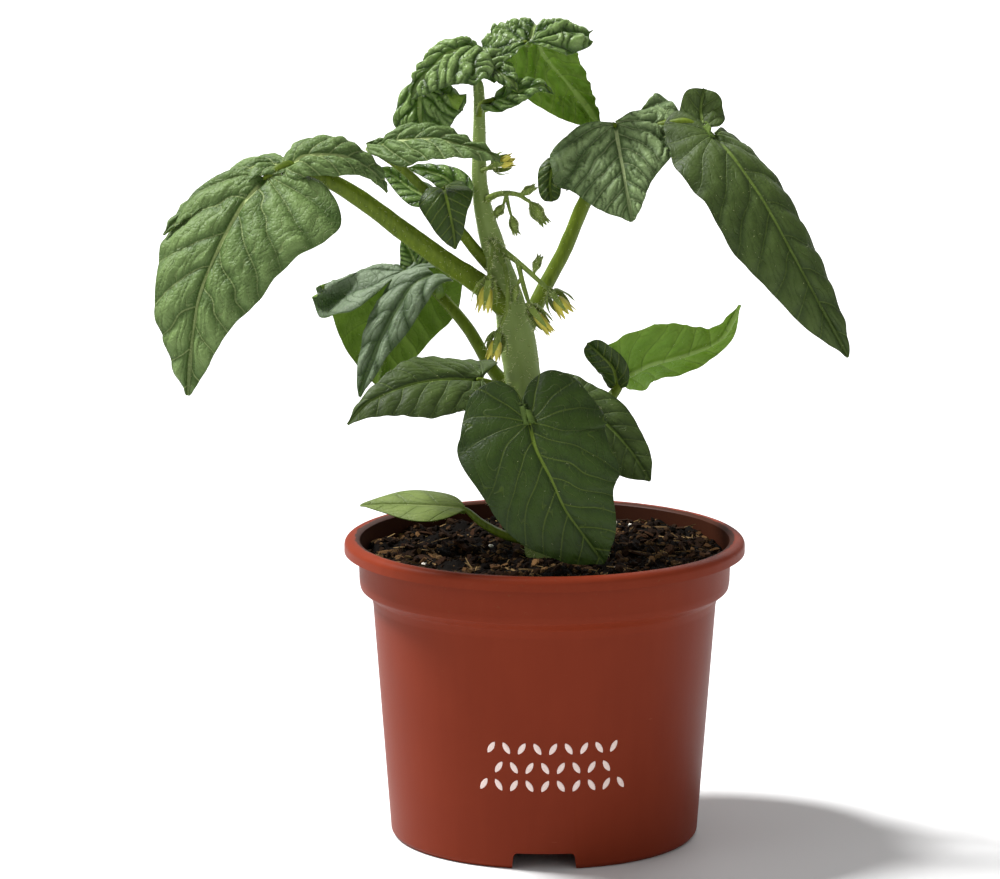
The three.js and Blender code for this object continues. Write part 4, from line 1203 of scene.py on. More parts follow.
@dataclass(frozen=True)
class VeinPlan:
    """Where the side veins of a leaflet run, in millimetres.

    They leave the rib at an angle and bend towards the tip. Behind the first one they fan out
    from the rib's base. Small veins cross from each to the next.
    """

    spacing: float
    cross: float
    lean: float = 0.85
    bend: float = 0.014
    fan_step: float = 0.5
    first_vein: float = 0.3
    left_shift: float = 0.42
    zigzag: float = 0.3
    drift: float = 0.35
    drift_per_mm: float = 0.8

    def phases(self, ahead: Array, out: Array, side: int, seed: int
               ) -> tuple[Array, Array, Array]:
        """Counts of side veins and small veins passed, and the width of a side vein's strip.

        Args:
            ahead: distance along the rib from its base.
            out: distance from the rib.
            side: 0 for the right half and 1 for the left.
            seed: picks how the small veins are set off.

        Returns:
            The two counts and the width.
        """
        slope = self.lean + self.bend * out
        start = ahead - slope * out
        line = start / self.spacing
        from_base = np.hypot(out, ahead)
        turn = np.arctan2(out, ahead) - np.arctan2(1, slope)
        lateral = (np.where(start > 0, line, -turn / self.fan_step) + self.first_vein
                   + self.left_shift * side)
        strip = self.spacing / np.sqrt(1 + (slope + self.bend * out) ** 2)
        gap = np.where(start > 0, strip, np.maximum(from_base, 1) * self.fan_step)
        reach = np.where(start > 0, out * np.sqrt(1 + slope ** 2), from_base)
        cell = np.floor(lateral)
        offset = np.sin(cell * CELL_MIX + side * HALF_MIX + seed) * 0.5
        drift = np.sin(reach * self.drift_per_mm + cell * DRIFT_MIX + seed)
        sway = self.zigzag * np.sin(2 * np.pi * lateral) + self.drift * drift
        return lateral, reach / self.cross + offset + sway, gap


LAST_COLUMN = 0.985
"""Where a leaflet's last column before its margin lies, as a share of the half width."""


@dataclass(frozen=True)
class Leaflet:
    """One waved leaflet, in millimetres and degrees. The first of each pair is its right half
    as seen from above with the tip ahead."""

    rib: tuple
    face: tuple
    half: Pair
    shape: tuple[Margin, Margin]
    skin: Skin = Skin.FULL
    fold: Pair = (12, 12)
    curl: Pair = (35, 35)
    wave: float = 0.8
    waves: float = 4
    puff: float = 0.7
    scallop: float = 0.08
    veins: int = 4
    side_veins: float = 6
    cross: float = CROSS_SPACING
    crinkle: float = 0.5
    bead: float = 0.35
    ruffle: float = 0.5
    stray: float = 0.15
    drape: float = 0.7
    thickness: float = 0.36
    sweep: float = 0.35
    rows: int = 110
    columns: int = 31
    seed: int = 1

    def frame_at(self, curve: Curve, place: Array) -> tuple[Array, ...]:
        """Points, upward and sideways directions of the rib.

        Args:
            curve: the rib.
            place: shares of its length, also before its base or past its tip.

        Returns:
            Points, up and side.
        """
        inside = np.clip(place, 0, 1)
        tangent = curve.tangent(inside)
        point = curve.along(inside)[..., :3]
        point = point + tangent * ((place - inside) * curve.length)[..., None]
        faces = np.array(self.face, float)
        last = len(faces) - 1
        span = np.minimum((inside * last).astype(int), last - 1)
        blend = (inside * last - span)[..., None]
        up = faces[span] * (1 - blend) + faces[span + 1] * blend
        up = unit(up - (up * tangent).sum(axis=-1, keepdims=True) * tangent)
        return point, up, np.cross(tangent, up)

    def half_grid(self, curve: Curve, side: int, at: Array, out: Array
                  ) -> dict[str, Array]:
        """One half of the leaflet's top.

        Args:
            curve: the rib.
            side: 0 for the right half and 1 for the left.
            at: rows from base to tip, 0 to 1.
            out: columns from the rib to the margin, 0 to 1.

        Returns:
            Points and the marks at them, rows by columns.
        """
        row = self.shape[side].curve().at(at)
        on_rib, along, across = (row[:, k, None] for k in range(3))
        at, out = at[:, None], out[None, :]
        half = self.half[side]
        swell = np.sin(np.pi * self.veins * at) ** 2
        reach = half * across * out * (1 + self.scallop * (swell - 0.5) * out ** 2)
        swept = out * (1 - self.sweep) + self.sweep * out ** 2
        place = on_rib + (along - on_rib) * swept
        plan = VeinPlan(curve.length / self.side_veins, self.cross)
        ahead = place * curve.length
        lateral, cross, gap = plan.phases(ahead, reach, side, self.seed)
        spot = np.stack([ahead, reach, np.full_like(reach, 40.0 * side)], axis=-1)
        lateral = lateral + self.stray * wander(spot, 6, self.seed + 3)
        calm = 1 - at ** 10
        frill = self.ruffle * np.clip(gap / 10, 0.2, 1) * calm
        reach = reach * (1 + 0.025 * frill * np.cos(2 * np.pi * lateral) * out ** 4)
        fold = math.radians(self.fold[side])
        bend = math.radians(self.curl[side]) / half
        level = (np.cos(fold - bend * reach) - math.cos(fold)) / bend
        width = (math.sin(fold) - np.sin(fold - bend * reach)) / bend
        wave = self.wave * calm * out ** 2 * np.sin(self.waves * at * np.pi + side * 2)
        puff = 0.5 * self.puff * swell * np.sin(np.pi * np.minimum(out * 1.15, 1))
        edge = frill * out ** 5 * np.cos(2 * np.pi * lateral + 0.8)
        point, up, sideways = self.frame_at(curve, place)
        sign = 1 if side == 0 else -1
        points = (point + sideways * (sign * width)[..., None]
                  + up * (level + wave + puff - edge)[..., None])
        drape = self.drape * calm * out * wander(points, 13, self.seed)
        points = points + up * drape[..., None]
        return {"points": points, "lateral": lateral, "cross": cross, "gap": gap,
                "reach": reach, "up": up, "out": np.broadcast_to(out, reach.shape)}

    def patch(self, skin: int) -> Patch:
        """The leaflet as a thin closed sheet with pillows between its veins.

        Args:
            skin: which of the object's materials it takes.

        Returns:
            The patch.
        """
        curve = Curve(self.rib)
        at = np.linspace(0, 1, self.rows + 1)
        even = np.linspace(0, 1, self.columns)
        out = np.append(even[:-1] ** 1.1 * LAST_COLUMN, [LAST_COLUMN, 1.0])[1:]
        right = self.half_grid(curve, 0, at, out)
        left = self.half_grid(curve, 1, at, out)
        middle = self.half_grid(curve, 0, at, np.array([0.0]))
        grid = {key: np.concatenate([left[key][:, ::-1], middle[key], right[key]], axis=1)
                for key in right}
        top = grid["points"]
        normal = unit(np.cross(np.gradient(top, axis=1), np.gradient(top, axis=0)))
        facing = (normal * grid["up"]).sum(axis=-1, keepdims=True)
        normal = normal * np.where(facing.mean() < 0, -1, 1)
        reach, share = grid["reach"], grid["out"]
        depth = np.broadcast_to(at[:, None], reach.shape)
        raised = self.pillows(grid)
        size = np.clip(grid["gap"] / 5, 0.3, 1.3)
        relief = self.crinkle * size * (raised * 1.3 - 0.85)
        relief = relief - 0.25 * np.exp(-(reach / 0.5) ** 2)
        upper = top + normal * relief[..., None]
        lower = upper - normal * self.blade(grid, depth)[..., None]
        edge_fuzz = 0.12 + 1.2 * np.clip(share * 12 - 11, 0, 1)
        marks = {"veins": np.stack([grid[key] for key in ("lateral", "cross", "gap")], axis=-1),
                 "place": np.stack([reach, depth, np.zeros_like(reach)], axis=-1),
                 "fuzz": edge_fuzz, "relief": raised}
        below = dict(marks, place=marks["place"] + np.array((0, 0, 1.0)),
                     fuzz=edge_fuzz + 0.8 * np.exp(-reach ** 2))
        return sheet_patch(upper, lower, marks, below, skin)

    def pillows(self, grid: dict[str, Array]) -> Array:
        """How high the blade stands between its veins, 0 in a vein and about 1 at the most."""
        quilt = np.abs(np.sin(np.pi * grid["lateral"])) ** 0.6
        rung = np.abs(np.sin(np.pi * grid["cross"])) ** 0.7
        fade = np.clip(grid["reach"] / 2.2, 0, 1) ** 0.8 * (1 - 0.6 * grid["out"] ** 10)
        lumps = 0.5 + 0.5 * wander(grid["points"], 2.4, self.seed)
        return quilt * (0.65 - self.bead * (1 - rung) + 0.55 * lumps) * fade

    def blade(self, grid: dict[str, Array], depth: Array) -> Array:
        """The blade's thickness, with a keel under the rib and ridges under the side veins.

        Args:
            grid: the marks of the leaflet's top.
            depth: how far each row is from the base to the tip.

        Returns:
            Millimetres, rows by columns.
        """
        keel = (0.95 - 0.75 * depth) * np.exp(-(grid["reach"] / (0.95 - 0.6 * depth)) ** 2)
        to_vein = (0.5 - np.abs(grid["lateral"] % 1 - 0.5)) * grid["gap"]
        ridges = 0.2 * np.exp(-(to_vein / 0.45) ** 2) * (1 - grid["out"])
        thick = self.thickness * (1 - 0.45 * grid["out"] ** 6)
        thick = thick + (keel + ridges) * np.clip(depth * 30, 0, 1)
        return thick * (1 - 0.6 * depth ** 12)


def small_leaflet(*shape: object, **given: object) -> Leaflet:
    """A leaflet with the proportions of the small ones."""
    usual = {"veins": 3, "wave": 0.4, "puff": 0.5, "waves": 3, "columns": 19, "rows": 64,
             "cross": 2.4, "drape": 0.4, "ruffle": 0.4}
    return Leaflet(*shape, **{**usual, **given})


@dataclass(frozen=True)
class Leaf:
    """A leaf: its stalks and its leaflets."""

    node: str
    stalks: tuple[Stalk, ...]
    leaflets: tuple[Leaflet, ...]
    slot: str = "leaf_skin"

    def build(self) -> Object:
        """Makes the leaf as one piece in place of its node."""
        shell = Shell(self.node + "_skin")
        finishes = [Green.STALK.value]
        shell.add(*(stalk.patch() for stalk in self.stalks))
        for leaflet in self.leaflets:
            if leaflet.skin.value not in finishes:
                finishes.append(leaflet.skin.value)
            shell.add(leaflet.patch(finishes.index(leaflet.skin.value)))
        made = shell.build([finish.material() for finish in finishes])
        return place_piece(made, self.slot, self.node)


EGGS = (Margin.EGG, Margin.EGG)
LANCES = (Margin.LANCE, Margin.LANCE)
OVALS = (Margin.OVAL, Margin.OVAL)
HEARTS = (Margin.HEART, Margin.HEART)


def main_leaves() -> tuple[Leaf, ...]:
    """The leaves on the main stem, from the upper left round to the soil."""
    left_high = Leaf("leaf_left_high", (
        Stalk(((-9.5, 0, 158.5, 3.5), (-18.5, -4, 167, 3.1), (-31, -10, 176.5, 3),
               (-42.5, -16, 186, 2.8), (-54, -21, 195.5, 2.6), (-64, -25, 202, 2.2),
               (-74, -28, 206, 1.8), (-81.5, -31.5, 203, 1.1)), 28),
    ), (
        Leaflet(((-81, -31, 203.5), (-87.5, -37, 196.5), (-93.5, -42, 186), (-99.5, -46, 172),
                 (-102, -48, 158), (-103.5, -47, 141.5)),
                ((-0.2, -0.7, 0.65), (-0.3, -0.9, 0.3), (-0.3, -0.95, 0)), (18, 26),
                (Margin.SLANT, Margin.LOBED), fold=(8, 5), curl=(25, 30), veins=5, crinkle=1.0,
                columns=35),
        small_leaflet(((-75.5, -29, 206), (-69.5, -31, 210), (-58, -30, 209.8), (-50, -26, 205),
                       (-45, -23, 198)), ((0, -0.6, 0.8), (0.2, -0.6, 0.75)), (8, 9.5), EGGS,
                      curl=(50, 50), veins=4, crinkle=1.3, bead=0.6, seed=2),
        small_leaflet(((-74.5, -27, 206.5), (-82.5, -26, 207.2), (-91, -27, 203), (-101, -30, 196),
                       (-111, -36, 188)), ((0, -0.3, 1), (-0.5, -0.4, 0.8)), (7.5, 7.5), EGGS,
                      curl=(45, 30), veins=4, crinkle=1.1, bead=0.6, seed=3),
    ))
    right_high = Leaf("leaf_right_high", (
        Stalk(((-8, 0, 149, 2.6), (-0.5, 6, 164.5, 2.3), (5.7, 9, 176, 2.2), (11.2, 11, 189, 2.1),
               (17, 9, 201.5, 2), (28, 5, 211, 1.9), (40, 2, 215.2, 1.5), (46, 0.8, 213.4, 1.2),
               (50.2, -1.5, 210.8, 0.9)), 24),
        Stalk(((22, 7.5, 206, 1.3), (20.5, 5, 212, 1.1), (20.5, -0.5, 215, 0.9))),
        Stalk(((13.5, 10, 196, 1.1), (8.5, 8.5, 201.5, 0.9), (3.4, 7, 203, 0.8))),
    ), (
        Leaflet(((49.9, -2, 212), (55.7, -8, 206), (64.5, -13, 193.6), (73.8, -17, 177),
                 (83, -18, 160), (89.5, -17, 148)),
                ((0.2, -0.6, 0.75), (0.35, -0.9, 0.2), (0.3, -0.95, 0.1)), (17, 13),
                (Margin.BROAD, Margin.EGG), fold=(5, 5), curl=(25, 70), veins=5, crinkle=0.6,
                side_veins=7, skin=Skin.SHADED, columns=31, seed=4),
        Leaflet(((20.7, 0, 214.8), (21.6, -4.5, 209.5), (22.8, -10.5, 203.5), (24, -15, 196.5),
                 (25.4, -17.5, 188.5)), ((0, -0.75, 0.65), (0, -0.9, 0.45), (0, -1, 0.1)),
                (22.5, 21), (Margin.EGG, Margin.CREST), skin=Skin.QUILTED, fold=(6, 6),
                curl=(40, 40), crinkle=1.35, side_veins=5.5, cross=4.2, stray=0.3, bead=0.6,
                columns=35, seed=5),
        small_leaflet(((46.6, 0.8, 213.6), (46, 4.5, 219), (47, 5, 224.8)),
                      ((0, -0.9, 0.35), (0, -0.9, 0.35)), (7, 6.5), OVALS, skin=Skin.SHADED,
                      side_veins=3, crinkle=0.5, seed=6),
        small_leaflet(((3.6, 7, 203.2), (2, 5, 200.5), (1.4, 4, 196), (2, 3, 191.3)),
                      ((-0.2, -0.7, 0.7), (0, -1, 0.1), (0, -1, 0)), (3.9, 3.7), OVALS,
                      skin=Skin.DEEP, crinkle=0.3, seed=7),
    ))
    left_mid = Leaf("leaf_left_mid", (
        Stalk(((-6.5, 0, 130.5, 2.4), (-16, 5, 141, 1.9), (-22.5, 9, 151.5, 1.8),
               (-30, 13, 160, 1.7), (-36, 14.5, 166, 1.6), (-41.6, 14.5, 168.5, 1.1)), 22),
    ), (
        Leaflet(((-41.5, 14, 168.5), (-43, 19, 170.4), (-44.6, 24, 165), (-47.5, 27, 152.3),
                 (-49.3, 27, 141), (-50.2, 25.5, 131.5)),
                ((0, -0.5, 0.85), (0, 0.5, 0.8), (0, 0.95, 0.2), (0, 1, 0)), (21, 29),
                (Margin.EGG, Margin.WING), skin=Skin.DUSKY, fold=(5, 5), curl=(25, 45), columns=31,
                side_veins=5, cross=4.5, crinkle=0.8, seed=8),
        small_leaflet(((-31.5, 13, 161.5), (-32.5, 8, 169), (-39.6, 5, 166.3), (-44.3, 3, 159.3),
                       (-49.7, 1, 149.1), (-55.6, -1, 133.2)),
                      ((0, 0, 1), (-0.3, -0.8, 0.5), (-0.4, -0.85, 0.2)), (9, 8), LANCES,
                      fold=(15, 15), curl=(50, 50), veins=4, skin=Skin.DUSKY, side_veins=5.5,
                      cross=5, crinkle=0.8, ruffle=0.1, seed=9),
        small_leaflet(((-38, 16, 167.5), (-40, 18, 173), (-43, 19, 178)),
                      ((0, -0.9, 0.3), (0, -0.9, 0.3)), (4.6, 4.6), EGGS, skin=Skin.YOUNG,
                      crinkle=0.2, seed=10),
    ))
    left_low = Leaf("leaf_left_low", (
        Stalk(((-5.5, 0, 130, 2), (-13.5, -7, 137, 1.5), (-20, -12.5, 140.6, 1))),
    ), (
        Leaflet(((-19, -12, 140.5), (-28.5, -18, 141.9), (-37.2, -23, 141.6), (-45.6, -26, 139.4),
                 (-52.6, -28, 135.9), (-58, -29, 130.2)), ((0, -0.6, 0.8), (-0.3, -0.7, 0.6)),
                (12, 13.5), (Margin.SHOULDER, Margin.EGG), fold=(15, 10), curl=(45, 40),
                skin=Skin.SHADED, crinkle=0.5, seed=11),
    ))
    front_low = Leaf("leaf_front_low", (
        Stalk(((-3.5, 0, 112.5, 2.1), (-3, -8, 124, 1.7), (-2.5, -19, 131.5, 1.4),
               (-4.4, -31.1, 130.9, 1.1))),
    ), (
        Leaflet(((-4.5, -31, 131), (-2.5, -35, 124), (2, -38, 115.5), (6, -40, 107),
                 (11, -41, 100), (17.5, -41, 91)),
                ((0, -0.8, 0.6), (0, -0.95, 0.25), (0, -1, 0.1)), (21.5, 22), HEARTS,
                skin=Skin.DEEP, fold=(8, 8), curl=(22, 26), veins=5, crinkle=0.35, columns=33,
                seed=12),
    ))
    front_right = Leaf("leaf_front_right", (
        Stalk(((-3.5, 0, 119, 1.9), (0, 5, 126.5, 1.5), (9.6, 6, 130.2, 1.1))),
    ), (
        Leaflet(((9, 6, 130.5), (16.5, 4, 126), (25, 1, 117.5), (31.5, -2, 108)),
                ((0, -0.8, 0.6), (0, -0.9, 0.4), (0, -1, 0.2)), (14, 8.5), HEARTS,
                skin=Skin.SHADED, crinkle=0.35, seed=13),
    ))
    right_low = Leaf("leaf_right_low", (
        Stalk(((-3.5, 0, 111, 2.2), (7.5, 10, 122.5, 1.8), (19.5, 15, 130, 1.6),
               (24.4, 18.1, 137.3, 1))),
    ), (
        Leaflet(((24.1, 18, 137), (31.7, 20, 140.2), (39, 22, 141.7), (46.8, 23, 144),
                 (53.6, 22, 148.4), (58.4, 18, 158.4)),
                ((-0.2, 0.75, 0.65), (0, 0.85, 0.5), (-0.5, 0.8, 0.3)), (12, 11.5),
                (Margin.SHOULDER, Margin.EARLY), fold=(15, 15), curl=(-25, 20), skin=Skin.YOUNG,
                seed=14),
        small_leaflet(((21.8, 16.2, 133), (20.5, 14.5, 139), (16.5, 12, 143.8), (12.8, 10, 147.5)),
                      ((-0.3, -0.9, 0.3), (-0.3, -0.9, 0.3)), (4.4, 4.4), OVALS, skin=Skin.DEEP,
                      crinkle=0.3, seed=15),
    ))
    seed_leaf = Leaf("seed_leaf", (
        Stalk(((0, 0, 87, 1.9), (-5.5, 0, 89.2, 1.5), (-12, 0, 91, 1.3), (-18.5, 2, 94, 1.2),
               (-24, 5.1, 98.1, 0.9)), fuzz=0.3),
    ), (
        Leaflet(((-23.5, 5, 98), (-31.4, 6, 98.7), (-43.5, 7, 99), (-55.6, 8, 98.6)),
                ((0, -0.45, 0.9), (0, -0.4, 0.9)), (8, 8), LANCES, fold=(12, 12), curl=(30, 30),
                veins=3, puff=0.1, scallop=0, wave=0.2, crinkle=0.05, ruffle=0, side_veins=3,
                drape=0.2, thickness=0.6, skin=Skin.SEED, seed=16),
    ), "young_leaf")
    return (left_high, right_high, left_mid, left_low, front_low, front_right, right_low,
            seed_leaf)


def crown_leaves() -> tuple[Leaf, ...]:
    """The crowded young leaves at the top."""
    inner = Leaf("leaf_inner", (
        Stalk(((-13.5, 1, 169.5, 2), (-19.5, -1, 176, 1.7), (-24.5, -3, 182.5, 1.6),
               (-29.5, -4, 189, 1.5), (-35.5, -6, 196, 1.4), (-43, -9, 203.5, 1.3),
               (-51.5, -13, 209.4, 0.9))),
        Stalk(((-29.5, -4, 189.2, 1), (-30.3, -6, 193.5, 0.9), (-30, -8, 197, 0.8))),
    ), (
        Leaflet(((-52, -13.5, 209.8), (-44, -19, 213), (-32, -22, 214), (-21.5, -23, 211.5),
                 (-12.5, -22, 207.5)), ((0, -0.45, 0.9), (0.1, -0.5, 0.85)), (11, 9), LANCES,
                curl=(45, 45), puff=1, crinkle=1.3, bead=0.6, seed=21),
        small_leaflet(((-33, -5, 193), (-39.5, -2, 196), (-44, 0, 199), (-49, 1, 202)),
                      ((0, -0.7, 0.7), (0, -0.7, 0.7)), (5, 5), EGGS, skin=Skin.YOUNG, seed=22),
        small_leaflet(((-30, -7.8, 196.9), (-29.2, -11.5, 195.4), (-28, -13.5, 190.5),
                       (-26.9, -14, 185), (-26.3, -13, 179.3)),
                      ((0, -0.6, 0.8), (0, -0.95, 0.3), (0, -1, 0)), (8.2, 8),
                      (Margin.EGG, Margin.SHOULDER), curl=(35, 35), skin=Skin.DEEP, crinkle=0.25,
                      seed=23),
        small_leaflet(((-27, -3.5, 185.5), (-25.5, -3, 194), (-29, -2, 199), (-35, 0, 201),
                       (-41, 1, 202)), ((-0.7, -0.7, 0), (-0.3, -0.7, 0.6), (0, -0.6, 0.8)),
                      (5, 5), LANCES, skin=Skin.YOUNG, seed=24),
    ))
    shoot = Leaf("crown_shoot", (
        Stalk(((-20, 3, 224, 1.1), (-20, 3, 229.5, 1.2), (-19, 1, 234, 1.4), (-17, -1, 237, 1)),
              flare=0),
        Stalk(((-19.5, 1, 232, 1.2), (-13, -1, 237, 1), (-5.4, -3, 239.6, 0.8))),
        Stalk(((-20, 3, 228.5, 1.1), (-25, 2, 228.5, 1), (-33.9, -3.5, 227.2, 0.8))),
    ), (
        Leaflet(((-5, -3, 239.5), (-3, 4, 244.8), (-1.8, 11, 243.3), (-0.5, 16, 235.5),
                 (8, 20, 224), (17, 18, 212.5)),
                ((0, -0.7, 0.7), (0, 0.3, 1), (0.2, 1, 0.2), (0.2, 0.95, 0.1)), (18, 15.5),
                (Margin.EARLY, Margin.DRAPED), skin=Skin.YOUNG, fold=(5, 5), curl=(35, 40), puff=1,
                crinkle=1.8, side_veins=9, cross=3.2, stray=0.5, rows=130, columns=35, bead=0.7,
                seed=25),
        small_leaflet(((-18.7, -0.5, 234), (-15, -8, 232.8), (-11, -12.5, 230.4),
                       (-7.5, -14, 226.8)), ((0, -0.4, 0.9), (0.4, -0.8, 0.4)), (6.5, 6.5), EGGS,
                      puff=1, veins=4, skin=Skin.YOUNG, crinkle=1.7, side_veins=4, cross=3,
                      bead=0.7, seed=26),
        small_leaflet(((-18, -1.2, 236), (-22.1, -6, 239.3), (-29.1, -9, 237.3),
                       (-35.5, -10, 231.3), (-40.2, -10, 223.7)),
                      ((0, -0.5, 0.85), (-0.4, -0.6, 0.7)), (8, 16), EGGS, veins=4, puff=1,
                      curl=(55, 45), skin=Skin.YOUNG, crinkle=1.9, side_veins=6, cross=3.4,
                      stray=0.6, rows=100, columns=31, bead=0.7, seed=27),
        Leaflet(((-33, -3, 227.8), (-36.7, -7.5, 225.8), (-37, -9, 219.5), (-35.9, -9, 212.5),
                 (-34.2, -8.5, 206.5)), ((-0.3, -0.6, 0.7), (-0.2, -1, 0.1), (-0.1, -1, 0)),
                (8.5, 15), (Margin.LATE, Margin.EGG), veins=4, puff=1, curl=(45, 35),
                skin=Skin.YOUNG, crinkle=1.6, side_veins=5, cross=3.2, stray=0.5, bead=0.7,
                seed=28),
    ), "young_leaf")
    right = Leaf("crown_leaf_right", (
        Stalk(((-19.6, 1.5, 217, 1.1), (-18.5, -3, 221, 1), (-15, -7, 223, 0.8))),
    ), (
        small_leaflet(((-18.5, -3.5, 221), (-14, -8, 223.5), (-7.5, -11, 226.5), (-1.5, -12, 228),
                       (3, -12, 226)), ((0, -0.5, 0.85), (0, -0.6, 0.8)), (6, 6), LANCES, veins=4,
                      puff=0.9, skin=Skin.YOUNG, crinkle=1.6, side_veins=5, cross=3, columns=23,
                      bead=0.7, seed=29),
    ), "young_leaf")
    return inner, shoot, right


# Stem

@dataclass(frozen=True)
class Stem:
    """The main stem, thick below, with shallow ridges."""

    foot: float = 70
    radius: float = 5.5
    sides: int = 56

    def build(self) -> Object:
        """Makes the stem in place of its node."""
        path = ((1, 0, self.foot, self.radius - 0.6), (0, 0, 83, self.radius + 0.1),
                (-1.5, 0, 101.5, self.radius), (-4.5, 0, 123, self.radius - 0.1),
                (-6.5, 0, 138, self.radius - 0.1), (-8.5, 0, 151.5, self.radius - 0.2),
                (-10.5, 0, 161, 4.6), (-13.5, 0, 171.5, 3.9), (-16, 0, 180.5, 3.3),
                (-18.5, 0, 190.5, 2.6), (-19.5, 0, 199.5, 2.2), (-19.5, 1, 210, 1.9),
                (-19.5, 2, 221.5, 1.7), (-20, 3, 228, 1.6))
        stalk = Stalk(path, self.sides, flare=0, ridges=7, ridge=0.03, step=0.6)
        made = Shell("stem_green").add(stalk.patch()).build([Green.STEM.value.material()])
        return place_piece(made, "stem_skin", "stem")


# Flowers

Profile = tuple[Pair, ...]
RECEPTACLE = 1.3
"""Radius of the knob at the end of a flower's stalk."""
CLEAR = 0.3
"""Room between two solids that don't touch."""


def axis_of(at: Triple, toward: Triple) -> Array:
    """The direction from one point to another."""
    return unit(np.array(toward, float) - np.array(at, float))


def on_axis(at: Triple, toward: Triple, steps: Profile) -> tuple:
    """Points for a stalk on a flower's axis, from pairs of a distance past at and a radius."""
    return tuple((*(np.array(at, float) + axis_of(at, toward) * distance), radius)
                 for distance, radius in steps)


@dataclass(frozen=True)
class Ribbon:
    """A narrow pointed blade, such as a sepal or a petal, in millimetres."""

    points: tuple
    across: tuple
    half: float
    thickness: float = 0.22
    crease: float = 0.35
    cup: float = 0.25
    fuzz: float = 1.0
    rows: int = 19
    columns: int = 7

    def patch(self) -> Patch:
        """The blade as a closed sheet."""
        curve = Curve(self.points)
        share = np.linspace(0, 1, self.rows)
        centre = curve.along(share)
        tangent = curve.tangent(share)
        across = np.array(self.across, float)
        across = unit(across - (tangent @ across)[:, None] * tangent)
        up = np.cross(tangent, across)
        width = self.half * 1.9 * (share + 0.15) ** 0.5 * (1 - share) ** 0.8 + 0.04
        s = np.linspace(-1, 1, self.columns)[None, :]
        lift = (np.abs(s) * self.crease - self.cup * s ** 2) * width[:, None]
        lift = lift + 0.08 * np.sin(share * 9 + self.half * 7)[:, None] * s
        top = (centre[:, None] + across[:, None] * (width[:, None] * s)[..., None]
               + up[:, None] * (0.12 + lift)[..., None])
        thick = self.thickness * (1 - 0.5 * np.abs(s)) * (1 - 0.5 * share[:, None])
        bottom = top - up[:, None] * thick[..., None]
        marks = no_marks(self.rows * self.columns, self.fuzz)
        return sheet_patch(top, bottom, marks, marks)


def whorl(at: Triple, toward: Triple, profile: Profile, count: int, turned: float = 0,
          **given: object) -> list[Patch]:
    """A ring of blades round a flower's axis.

    Args:
        at: centre of the ring.
        toward: a point ahead on the axis.
        profile: (out, ahead) points of each blade.
        count: number of blades.
        turned: share of one blade's turn that the ring is turned by.
        **given: the blades' other sizes.

    Returns:
        One closed patch a blade.
    """
    centre = np.array(at, float)
    axis = axis_of(at, toward)
    first = np.array((0, -1, 0.15))
    first = unit(first - first.dot(axis) * axis)
    second = np.cross(axis, first)
    patches = []
    for k in range(count):
        turn = 2 * math.pi * (k + turned) / count
        out = first * math.cos(turn) + second * math.sin(turn)
        away = 1 + 0.08 * math.sin(5.3 * k + at[0])
        points = tuple(tuple(centre + out * o * away + axis * a) for o, a in profile)
        patches.append(Ribbon(points, tuple(np.cross(axis, out)), **given).patch())
    return patches


@dataclass(frozen=True)
class Flower:
    """An open flower that hangs from its stalk."""

    at: Triple
    toward: Triple
    size: float
    spread: float

    def green(self) -> list[Patch]:
        """The knob at the stalk's end and the five sepals."""
        s = self.size
        steps = ((-RECEPTACLE, 0.6), (0, RECEPTACLE), (0.6, 1.0))
        knob = Stalk(on_axis(self.at, self.toward, steps), 16, flare=0, step=0.25)
        profile = ((0.3, 0), (2.1, 0.8 * s), (1.7 + self.spread * 0.75, 4.4 * s),
                   (1.5 + self.spread, 8 * s))
        return [knob.patch(), *whorl(self.at, self.toward, profile, 5, half=1.0, crease=0.2)]

    def yellow(self) -> list[Patch]:
        """The five petals and the cone of anthers."""
        s = self.size
        start = RECEPTACLE + CLEAR + 0.2
        steps = ((start, 0.75), (start + 2.6 * s, 0.95), (start + 5 * s, 0.7),
                 (start + 7.4 * s, 0.25))
        cone = Stalk(on_axis(self.at, self.toward, steps), 24, flare=0, ridges=6, ridge=0.12,
                     skin=1, fuzz=0, step=0.3)
        profile = ((0.4, start + 0.5), (0.8 + self.spread * 0.35, start + 1.8 * s),
                   (0.4 + self.spread * 0.75, start + 5.2 * s), (self.spread, start + 8.6 * s))
        petals = whorl(self.at, self.toward, profile, 5, 0.5, half=1.1, crease=0.5, cup=0.1,
                       thickness=0.18, fuzz=0)
        return [cone.patch(), *petals]


@dataclass(frozen=True)
class Bud:
    """A closed bud on its own short stalk."""

    stalk_points: tuple
    at: Triple
    toward: Triple
    length: float
    radius: float

    def green(self) -> list[Patch]:
        """The short stalk, the ribbed body and the sepals' tips."""
        steps = ((-0.6, 0.5), (0.18 * self.length, 0.85 * self.radius),
                 (0.5 * self.length, self.radius), (0.85 * self.length, 0.5 * self.radius),
                 (self.length, 0.25))
        body = Stalk(on_axis(self.at, self.toward, steps), 20, flare=0, ridges=5, ridge=0.12,
                     step=0.3)
        r, n = self.radius, self.length
        profile = ((0.5 * r, 0.05 * n), (0.98 * r, 0.4 * n), (0.72 * r, 0.85 * n),
                   (1.05 * r, 1.18 * n))
        tips = whorl(self.at, self.toward, profile, 5, 0.0, half=0.42 * r + 0.15, crease=0.1)
        short = Stalk((*self.stalk_points, (*self.at, 0.5)), 12, flare=0.1, step=0.4)
        return [short.patch(), body.patch(), *tips]


